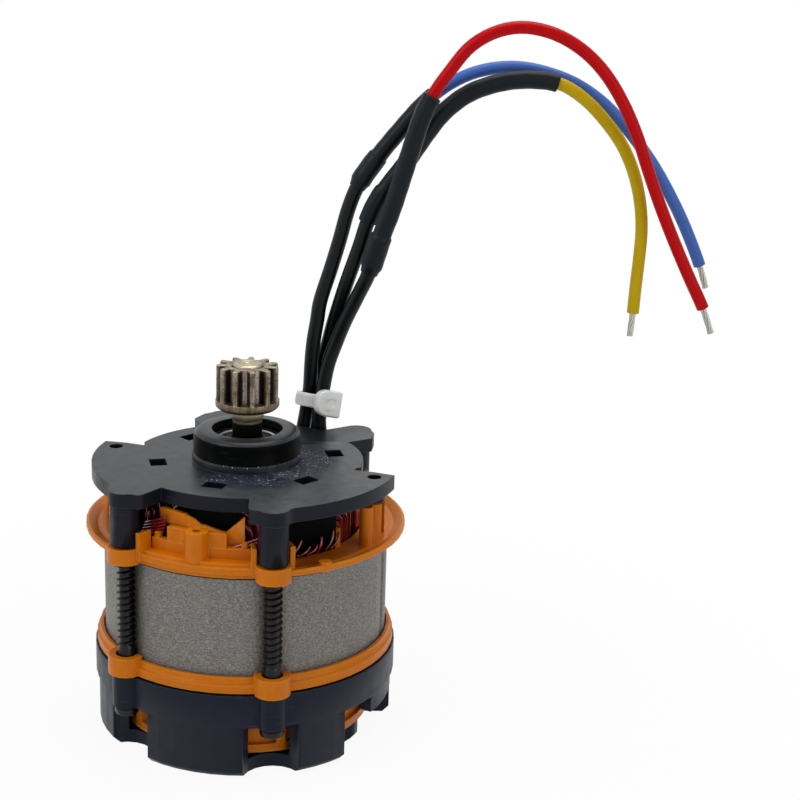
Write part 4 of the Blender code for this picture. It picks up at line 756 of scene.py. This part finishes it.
def bare_strands(route, start):
    """Seven tinned strands, laid with a slight twist."""
    twist = 0.42
    strands = []
    for k in range(7):
        lay = 2.0 * STRAND_R * (k > 0)
        phase = pi * k / 3

        def around(along):
            turn = phase + (along - start) * twist
            return lay * cos(turn), lay * sin(turn)

        tip = route.length - 0.05 - 0.12 * (k % 3)
        stops = [(s, STRAND_R, 0) for s in spaced(start - 0.6, tip - 0.08, 0.8)]
        stops.append((tip, 0.55 * STRAND_R, 0))
        strands.append(skin(route, stops, 9, None, around))
    return joined(*strands)


def sleeve(route, start, shoulder, end, wide, slim, seed):
    """A shrunk sleeve: full over the splice and slimmer past it. A wide one is drawn in below the splice."""
    wander = random.Random(seed)
    phases = [wander.uniform(0, 6.28) for _ in range(4)]

    def shape(along, turn):
        crease = 0.012 * sin(2.1 * along + phases[0] + 1.5 * sin(turn + phases[1]))
        flat = 0.03 * cos(2 * turn + phases[2] + 0.05 * along)
        return 1.0 + crease + flat

    rest = LEAD_R + 0.1
    open_mouth = wide - slim < 0.2
    if open_mouth:
        stops = [(start + 0.9, LEAD_R + 0.03), (start + 0.1, wide - 0.16), (start, wide - 0.06)]
        stops += [(start + 0.1, wide), (start + 0.6, wide + 0.02)]
    else:
        stops = [(start, rest), (start + 0.05, rest + 0.12), (start + 0.4, rest + 0.16)]
        stops += [(start + 0.9, 0.4 * rest + 0.6 * wide), (start + 1.3, wide - 0.03)]
    stops += [(s, wide) for s in spaced(start + 2.0, shoulder - 0.5, 0.6)]
    stops += [(shoulder, wide - 0.03), (shoulder + 0.2, 0.3 * wide + 0.7 * slim), (shoulder + 0.5, slim)]
    stops += [(s, slim) for s in spaced(shoulder + 1.5, end - 0.35, 0.7)]
    stops += [(end - 0.1, slim + 0.02), (end, slim - 0.05), (end + 0.01, COLOURED_R - 0.04)]
    return skin(route, [(*stop, 0) for stop in stops], 28, shape)


# Each lead: its route, where its sleeve starts, steps in and ends, the sleeve's two radii, where the
# core is bare, and the nodes that its sleeve stands for.
LEADS = {
    "blue": (BLUE_ROUTE, 53.5, 60.0, 74.2, 1.85, 1.55, 140.2, ("blue_sleeve",)),
    "yellow": (YELLOW_ROUTE, 49.3, 55.3, 93.0, 1.66, 1.5, 138.9, ("yellow_sleeve",)),
    "red": (RED_ROUTE, 40.5, 47.5, 73.0, 1.85, 1.58, 153.7, ("red_splice", "red_sleeve")),
}


def leads():
    for number, (colour, facts) in enumerate(LEADS.items()):
        points, start, shoulder, end, wide, slim, bare, sleeve_nodes = facts
        route = Route([lead_place(*p) for p in points])
        skins = ("lead_black", f"wire_{colour}", "tinned_copper")
        nodes = (f"{colour}_black_lead", f"{colour}_lead")
        wire = piece(f"{colour}_wire", insulation(route, end, bare), skins[1], nodes, 40.0, skins)
        tip = piece(f"{colour}_strands", bare_strands(route, bare), "tinned_copper", (f"{colour}_bare_end",))
        cover = sleeve(route, start, shoulder, end, wide, slim, number)
        wrap = piece(f"{colour}_shrink", cover, "sleeve_black", sleeve_nodes, 50.0)
        path = [p * MM for p in route.places[::3]]
        if (path[-1] - route.places[-1] * MM).length > 1e-6:
            path.append(route.places[-1] * MM)


def turn_about(axis, angle):
    return Matrix.Rotation(radians(angle), 4, axis)


TIE_PLACE = (12.2, 20.384, 50.85)
TIE_RIBS = 40


def tie_strap(inner, band, width, squeeze):
    """The strap: a ring with fine ribs across it, squeezed to an oval."""
    half = width / 2
    outer = inner + band
    section = [
        (inner, -half + 0.25), (inner + 0.12, -half), (outer - 0.15, -half), (outer, -half + 0.2),
        (outer, half - 0.2), (outer - 0.15, half), (inner + 0.12, half), (inner, half - 0.25),
    ]
    ribs = []
    for i in range(TIE_RIBS):
        middle, reach = 360.0 / TIE_RIBS * i, 1.7
        ribs.append(lofted([
            [polar(outer + 0.08, middle + share * reach, z) for share in (-1, 1)]
            + [polar(outer - 0.1, middle + share * reach, z) for share in (1, -1)]
            for z in (-half + 0.5, half - 0.5)
        ]))
    strap = joined(turned(section, 72), *ribs)
    bmesh.ops.scale(strap, vec=(squeeze, 1, 1), verts=strap.verts)
    return strap


def tie_head(wide, deep, high):
    """The lock: a rounded block with a shallow window and two small bars in its face."""
    front = -deep / 2
    edge = []
    corners = (
        (1, 1, 0.55, 0.55, 0), (-1, 1, 1.9, 1.3, 90), (-1, -1, 1.9, 1.5, 180), (1, -1, 0.55, 0.55, 270),
    )
    for sx, sz, across, along, start in corners:
        arc = corner(sx * (wide / 2 - across), sz * (high / 2 - along), across, along, start)
        edge += [(x - 0.2, z) for x, z in arc]
    rings = []
    for depth, shrink in ((deep / 2, 0.86), (deep / 2 - 0.3, 1.0), (front + 0.35, 1.0), (front, 0.88)):
        rings.append([Vector((x * shrink, depth, z * shrink)) for x, z in edge])
    for depth, across, along in ((front, 0.36, 0.3), (front + 0.18, 0.32, 0.26)):
        rings.append([Vector((x * across + 0.15, depth, z * along + 0.2)) for x, z in edge])
    bars = []
    for left, low, right, high in ((-0.75, -1.1, 0.55, -1.0), (-1.0, 0.15, -0.8, 0.9)):
        sides = ((left, low), (right, low), (right, high), (left, high))
        bars.append(lofted([[Vector((x, front + depth, z)) for x, z in sides] for depth in (0.1, -0.08)]))
    return joined(lofted(rings), *bars)


def cable_tie():
    """A nylon tie round the three leads, pulled tight and cut off flush."""
    inner, deep = 4.3, 2.9
    head = tie_head(4.3, deep, 4.7)
    out = Matrix.Translation((0, -(inner + deep / 2 + 0.3), 0))
    head.transform(turn_about("Z", 18.0) @ out @ turn_about("Z", -9.0))
    tie = joined(tie_strap(inner, 0.7, 2.4, 0.74), head)
    tilt = turn_about("Z", LEAD_TURN) @ turn_about("Y", 9.0) @ turn_about("X", -14.0)
    tie.transform(Matrix.Translation(lead_place(*TIE_PLACE)) @ tilt)
    piece("tie", tie, "tie_nylon", ("cable_tie",), 30.0)


# Motor

def plate_slot(face):
    """The plate's finish for a face: 0 on top, 1 at the sides and below, a darker copy with less sheen that
    paints shade there, 2 round the boss.
    """
    middle = face.calc_center_median()
    upright = abs(face.normal.z) < 0.6
    at_wall = BOSS_R - 0.6 < middle.xy.length < BOSS_R + 0.3
    if upright and at_wall and PLATE_TOP + 1.0 < middle.z < BOSS_TOP - 1.0:
        return 2
    return int(upright or middle.z < PLATE_LOW)


def mouldings():
    """The moulded and punched pieces keep their CAD shape. The nodes that stay get their finishes."""
    shapes = {
        "rear_housing": "housing_black", "rear_insulator": "insulator_orange",
        "stator_core": "lamination_steel", "front_insulator": "insulator_orange",
        "front_plate": "plate_black", "cooling_fan": "fan_black", "rotor_core": "lamination_steel",
    }
    for node, finish in shapes.items():
        bm = merged_copy(node)
        finishes = (finish,)
        body = "rotor" if node in ("cooling_fan", "rotor_core") else "stator"
        if node == "front_plate":
            finishes = ("plate_black", "plate_side", "deep_black")
            for face in bm.faces:
                face.material_index = plate_slot(face)
        piece(f"{node}_body", bm, finish, (node,), 34.0, finishes, body)
    for obj in frame["nodes"].values():
        for slot in obj.material_slots:
            slot.material = FINISHES[slot.material.name.split(".")[0]]


COIL_LAYERS = 5
COIL_TURNS = 5
COIL_IN_R = 14.3
COIL_DEPTH = 5.0
COIL_HALF = 3.6
COIL_FOOT, COIL_HEAD = 14.6, 39.2
LAYER_PITCH = 0.88
LOOP_POINTS = 26
LEAN_SPAN, LEAN_ABOVE = 14.0, 30.0
BOW_HALF, BOW_ABOVE = 10.0, 36.0
WIRE_R = 0.46
END_WIRE_R = 0.22


def coil_loop(radius, layer):
    """Points once round the tooth at this layer, across it and up, from the middle of its lower end."""
    room = 3.1 + 2.2 * (radius - COIL_IN_R) / COIL_DEPTH
    height = layer + 0.5
    half = COIL_HALF + height * room / COIL_LAYERS
    low, high = COIL_FOOT - height * LAYER_PITCH, COIL_HEAD + height * LAYER_PITCH
    bend = 1.1 + 0.48 * height
    loop = [(0.0, low)]
    for sx, sz, start in ((1, -1, 270), (1, 1, 0), (-1, 1, 90), (-1, -1, 180)):
        loop += corner(sx * (half - bend), high - bend if sz > 0 else low + bend, bend, bend, start)
        if (sx, sz) == (1, 1):
            loop.append((0.0, high + 0.16))
    return loop


def enamelled(name, spots, edges, tree, radius):
    """Round enamelled wire along these edges."""
    path = sketch(name, spots, edges)
    return grown(path, tree, Radius=radius, Sides=8, Finish=FINISHES["coil_enamel"])


def windings(tree):
    """Each coil is one wire, laid in layers that run outwards and back. Its turns lean a little."""
    pitch = (COIL_DEPTH - 2 * WIRE_R) / (COIL_TURNS - 1)
    for number in range(6):
        angle = 60.0 * number
        wander = random.Random(41 + number)
        spots = []
        for layer in range(COIL_LAYERS):
            turns = COIL_TURNS - 2 * (layer == COIL_LAYERS - 1)
            for k in range(turns):
                lean = wander.uniform(-0.16, 0.16)
                lift = wander.uniform(-0.1, 0.1)
                for j in range(LOOP_POINTS):
                    step = k - 1 + (min(1.0, j / LOOP_POINTS * 4.0) if k else 1.0)
                    step = step if layer % 2 == 0 else turns - 1 - step
                    radius = COIL_IN_R + WIRE_R + pitch * step
                    across, z = coil_loop(radius, layer)[j]
                    out = radius + lean * sin(pi * across / LEAN_SPAN) * (z > LEAN_ABOVE)
                    bow = lift * (z > BOW_ABOVE) * (1 - abs(across) / BOW_HALF)
                    spots.append(polar(out, angle + degrees(asin(across / radius)), z + bow))
        edges = [(i, i + 1) for i in range(len(spots) - 1)]
        wire = enamelled("winding_path", spots, edges, tree, WIRE_R)
        piece(f"winding_{number + 1}", wire, "coil_enamel", (f"coil_{number + 1}",), 60.0)


# Black sheets over the coil ends stand in for the shade between the coils: painted shade. Below are their
# foot and bend heights and their steps round.
SHEET_FOOT, SHEET_BEND = 35.9, 39.9
SHEET_STEPS = 22
TIED_FOOT = 36.2
SIDES = (0.0, 180.0)


def shade_sheets_and_wire_ends(tree):
    """Black sheets over the ends of the coils, standing in for the shade in the gaps between them, with thin
    wire ends tied down over them.
    """
    wander = random.Random(7)
    sheets, ends, edges = [], [], []

    def wire_end(place):
        """One thin wire through the places at seven shares of its way."""
        first = len(ends)
        ends.extend(place(i / 6) for i in range(7))
        edges.extend((i, i + 1) for i in range(first, len(ends) - 1))

    dark_sheets = [(start, 27.0, 20.2, 43.7, True) for start in (39.0, 114.0, 219.0, 294.0)]
    dark_sheets += [(side - 14.0, 31.0, 19.55, 44.0, False) for side in SIDES]
    for start, sweep, radius, top, tied in dark_sheets:
        rings = []
        for i in range(SHEET_STEPS + 1):
            swell = wander.uniform(-0.04, 0.04) * tied
            corners = (
                (radius - 0.12 + swell, SHEET_FOOT), (radius + 0.12 + swell, SHEET_FOOT),
                (radius + 0.14 + 1.6 * swell, SHEET_BEND),
                (radius + 0.1 - swell, top + wander.uniform(-0.1, 0.1)),
                (radius - 0.12 - swell, top), (radius - 0.1 + 1.6 * swell, SHEET_BEND),
            )
            rings.append([polar(r, start + sweep * i / SHEET_STEPS, z) for r, z in corners])
        sheets.append(lofted(rings))
        for k in range(6 * tied):
            foot = start + 1.0 + 4.6 * k + wander.uniform(-1.2, 1.2)
            lean = wander.uniform(2.5, 6.0)
            rise = wander.uniform(37.2, 39.4) - TIED_FOOT
            wire_end(lambda share: polar(
                20.42 + 0.5 * sin(pi * share), foot + lean * share, TIED_FOOT + rise * share
            ))
    # More black sheets by the front wall stand in for the shade behind it: painted shade.
    for side in SIDES:
        rings = []
        for i in range(13):
            top = 41.2 - 0.5 * (i / 12) ** 2 + wander.uniform(-0.05, 0.05)
            corners = ((20.97, 36.0), (21.2, 36.0), (21.2, top), (20.97, top))
            rings.append([polar(radius, side - 20.4 + 23.4 * i / 12, z) for radius, z in corners])
        sheets.append(lofted(rings))
        for first, last, foot, rise, count in ((-32.0, -17.5, 37.9, 2.0, 5), (12.5, 24.0, 37.0, 1.4, 4)):
            for k in range(count):
                start, sweep = side + first + 0.9 * k, last - first - 0.5 * k
                wire_end(lambda share: polar(
                    max(20.6 + 1.1 * sin(pi * min(1.0, share * 0.9 + 0.06 * k)), 21.55),
                    start + sweep * share, foot + 0.62 * k + rise * share,
                ))
    # All the sheets are near black: painted shade.
    piece("slot_paper", joined(*sheets), "fan_black", (), 50.0, ("deep_black",))
    wires = enamelled("wire_ends", ends, edges, tree, END_WIRE_R)
    piece("coil_wire_ends", wires, "coil_enamel", (), 60.0)


SCREW_ANGLES = (30.0, 150.0, 210.0, 330.0)
SCREW_CIRCLE_R = 25.3


def through_screw():
    """One screw about the upright axis: a low head with a socket, a shank, and a coarse thread."""
    head_bottom, seat, tip = 7.8, 9.0, 43.1
    shank, root, crest = 1.36, 1.1, 1.56
    pitch, steps, start = 1.12, 24, 19.0
    head = turned([
        (0, head_bottom + 0.75), (0.8, head_bottom + 0.7), (0.9, head_bottom), (1.6, head_bottom),
        (1.88, head_bottom + 0.1), (2.03, head_bottom + 0.4), (2.05, seat - 0.05), (2.0, seat),
        (shank, seat), (shank, start + 0.2), (root, start + 0.9), (0, start + 1.2),
    ], 24)
    thread = bmesh.new()
    phases = ((0.0, root), (0.3, root), (0.5, crest), (0.56, crest), (0.82, root))
    rows = []
    turns = ceil((tip - start) / pitch) + 1
    for k in range(turns * len(phases)):
        share, radius = phases[k % len(phases)]
        row = []
        for i in range(steps + 1):
            z = start + pitch * (k // len(phases) + share + i / steps - 1)
            fade = min(1.0, max(0.0, (z - start) / 1.2), max(0.0, (tip - 0.7 - z) / 1.6))
            reach = root + (radius - root) * fade if z < tip - 1.2 else root * max(0.5, (tip + 0.9 - z) / 2.1)
            a = 2 * pi * i / steps
            row.append(thread.verts.new((reach * cos(a), reach * sin(a), min(max(z, start), tip))))
        rows.append(row)
    for low, high in zip(rows, rows[1:]):
        for i in range(steps):
            thread.faces.new((low[i], low[i + 1], high[i + 1], high[i]))
    bmesh.ops.remove_doubles(thread, verts=thread.verts, dist=0.0005)
    bmesh.ops.dissolve_degenerate(thread, dist=0.0005, edges=thread.edges)
    bmesh.ops.holes_fill(thread, edges=[e for e in thread.edges if e.is_boundary])
    return joined(head, facing_out(thread))


def through_screws(tree):
    one = link("through_screw", as_mesh(through_screw(), "through_screw"))
    places = sketch("screw_places", [polar(SCREW_CIRCLE_R, a) for a in SCREW_ANGLES])
    screws = grown(places, tree, Fastener=one, Finish=FINISHES["screw_black"])
    bpy.data.objects.remove(one)
    nodes = [f"through_screw_{i}" for i in range(1, 5)]
    piece("through_screws", screws, "screw_black", nodes, 30.0)


def gear_ring(z, inset=0.0):
    """The teeth's outline at one height, drawn in by the inset."""
    teeth, turn = 11, 29.4
    pitch = 360.0 / teeth
    flank = (
        (3.55, 0.66), (3.72, 0.56), (4.0, 0.505), (4.4, 0.44), (4.8, 0.35), (5.08, 0.28), (TOOTH_TIP_R, 0.24),
    )
    ring = []
    for i in range(teeth):
        middle = turn + i * pitch
        sides = [(r - inset, pitch * (f / 2) - degrees(inset / r)) for r, f in flank]
        ring += [polar(r, middle - half, z) for r, half in sides]
        ring.append(polar(TOOTH_TIP_R - inset, middle, z))
        ring += [polar(r, middle + half, z) for r, half in reversed(sides)]
        ring.append(polar(TOOTH_ROOT_R - inset, middle + pitch / 2, z))
    return ring


def pinion():
    """Eleven teeth over a flange, with a bored front end."""
    bottom, floor, top = PINION_BOTTOM, TEETH_BOTTOM, PINION_TOP
    teeth = bmesh.new()
    levels = (gear_ring(floor - 0.2), gear_ring(top - 0.2), gear_ring(top - 0.07, 0.05), gear_ring(top, 0.16))
    rows = [[teeth.verts.new(p) for p in ring] for ring in levels]
    bridge(teeth, rows)
    teeth.faces.new(rows[0])
    bore = ((3.05, top), (2.62, top - 0.3), (2.62, top - 2.0))
    rings = [[teeth.verts.new(p) for p in circle(radius, 44, z)] for radius, z in bore]
    bridge(teeth, rings)
    teeth.faces.new(rings[-1])
    loops = [list(zip(ring, [*ring[1:], ring[0]])) for ring in (rows[-1], rings[0])]
    edges = [teeth.edges.get(pair) for loop in loops for pair in loop]
    bmesh.ops.triangle_fill(teeth, edges=edges, use_beauty=True)
    flange = turned([
        (0, bottom + 0.5), (2.9, bottom + 0.5), (3.0, bottom + 0.1), (3.4, bottom), (4.55, bottom),
        (4.75, bottom + 0.06), (5.2, bottom + 0.4), (5.32, bottom + 0.55), (5.35, bottom + 0.7),
        (5.35, floor - 0.12), (5.3, floor - 0.02), (5.2, floor), (0, floor),
    ], 72)
    piece("pinion_gear", joined(facing_out(teeth), flange), "pinion_steel", ("pinion",), 28.0, body="rotor")


def rotor_shaft():
    """The shaft, with its collar below the pinion and the shallow centre in its end."""
    profile = [
        (0, 2.5), (2.15, 2.5), (2.5, 2.85), (2.5, 53.6), (2.55, 53.75), (2.68, 54.1), (2.76, 54.6),
        (2.78, 55.45), (2.5, 55.5), (2.5, 62.85), (2.42, 63.1), (2.1, 63.3), (1.55, 63.3), (1.45, 63.2),
        (1.3, 63.2), (1.2, 63.28), (0.7, 63.28), (0.6, 63.2), (0, 63.0),
    ]
    piece("motor_shaft", turned(profile, 56), "shaft_steel", ("rotor_shaft",), 28.0, body="rotor")


def bearings():
    """Shielded ball bearings: a rolled shield sits in a groove of the outer ring."""
    for name in ("front", "rear"):
        low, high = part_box(f"{name}_bearing_outer")
        bottom, top = low.z / MM, high.z / MM
        upper = [
            (5.45, top), (5.35, top - 0.12), (5.3, top - 0.35), (5.15, top - 0.2), (4.9, top - 0.18),
            (4.75, top - 0.32), (4.2, top - 0.34), (4.1, top - 0.28), (4.02, top - 0.34),
        ]
        lower = [(r, bottom + top - z) for r, z in reversed(upper)]
        outer = [(6.35, bottom), (6.5, bottom + 0.15), (6.5, top - 0.15), (6.35, top)]
        cup = turned([*lower, *outer, *upper], 72)
        piece(f"{name}_bearing_cup", cup, "bearing_steel", (f"{name}_bearing_outer",), 24.0)
        low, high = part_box(f"{name}_bearing_inner")
        bottom, top, rim, bore = low.z / MM, high.z / MM, high.x / MM, 2.55
        cone = turned([
            (bore, bottom + 0.15), (bore + 0.15, bottom), (rim - 0.1, bottom), (rim, bottom + 0.1),
            (rim, top - 0.1), (rim - 0.1, top), (bore + 0.15, top), (bore, top - 0.15),
        ], 56)
        piece(f"{name}_bearing_cone", cone, "bearing_steel", (f"{name}_bearing_inner",), 24.0, body="rotor")


# Light and ground

SKY_GLOW = 0.22


def area_light(name, place, target, shape, wide, high, glow):
    """A soft light of this brightness, where 1 is white."""
    data = bpy.data.lights.new(name, "AREA")
    data.shape = shape
    data.size, data.size_y = wide, high
    data.energy = glow * wide * high * pi * (pi / 4 if shape == "DISK" else 1)
    obj = link(name, data)
    obj.location = place
    obj.rotation_euler = (Vector(target) - Vector(place)).to_track_quat("-Z", "Y").to_euler()


def studio():
    """Four soft lights, and a world that is white where it is seen and dim where it lights."""
    area_light("key", (-0.35, -0.45, 0.55), (0, 0, 0.03), "DISK", 0.35, 0.35, 5.2)
    area_light("top", (0.05, 0.1, 0.6), (0.01, 0, 0.04), "DISK", 0.5, 0.5, 3.2)
    area_light("fill", (0.6, -0.3, 0.22), (0.02, 0, 0.04), "DISK", 0.4, 0.4, 1.9)
    area_light("strip", (-0.5, -0.26, 0.16), (0, 0, 0.07), "RECTANGLE", 0.09, 0.36, 2.4)
    scene.world = bpy.data.worlds.new("studio")
    scene.world.use_nodes = True
    sky = Nodes(scene.world.node_tree)
    sky.tree.nodes.clear()
    white, dim = (
        sky.node("Background", {"Color": WHITE, "Strength": glow}) for glow in (1.0, SKY_GLOW)
    )
    both = sky.node("MixShader", {0: sky.seen(), 1: dim, 2: white})
    sky.join(sky.tree.nodes.new("ShaderNodeOutputWorld").inputs["Surface"], both)


def ground():
    """A pale floor that keeps the motor's soft shadow, and is white where it is seen from afar."""
    reach = 6.0
    corners = [(-reach, -reach, 0), (reach, -reach, 0), (reach, reach, 0), (-reach, reach, 0)]
    mesh = bpy.data.meshes.new("floor")
    mesh.from_pydata(corners, [], [(0, 1, 2, 3)])
    finish = Finish("floor_white", (0.86, 0.86, 0.86), 0.9, Specular_IOR_Level=0.0)
    glow = finish.node("Emission", {"Color": WHITE, "Strength": 1.0})
    away = finish.from_shaft().above(30.0, 110.0)
    inputs = {0: finish.seen() * (away * 0.07 + 0.93), 1: finish.shader.outputs[0], 2: glow}
    shade = finish.node("MixShader", inputs)
    finish.join(finish.tree.nodes["Material Output"].inputs["Surface"], shade)
    mesh.materials.append(finish.material)
    link("floor", mesh)


camera()
leads()
cable_tie()
mouldings()
WIRE = wire_tree()
windings(WIRE)
shade_sheets_and_wire_ends(WIRE)
through_screws(fastener_tree())
pinion()
rotor_shaft()
bearings()
studio()
ground()
scene.view_settings.view_transform = "Standard"
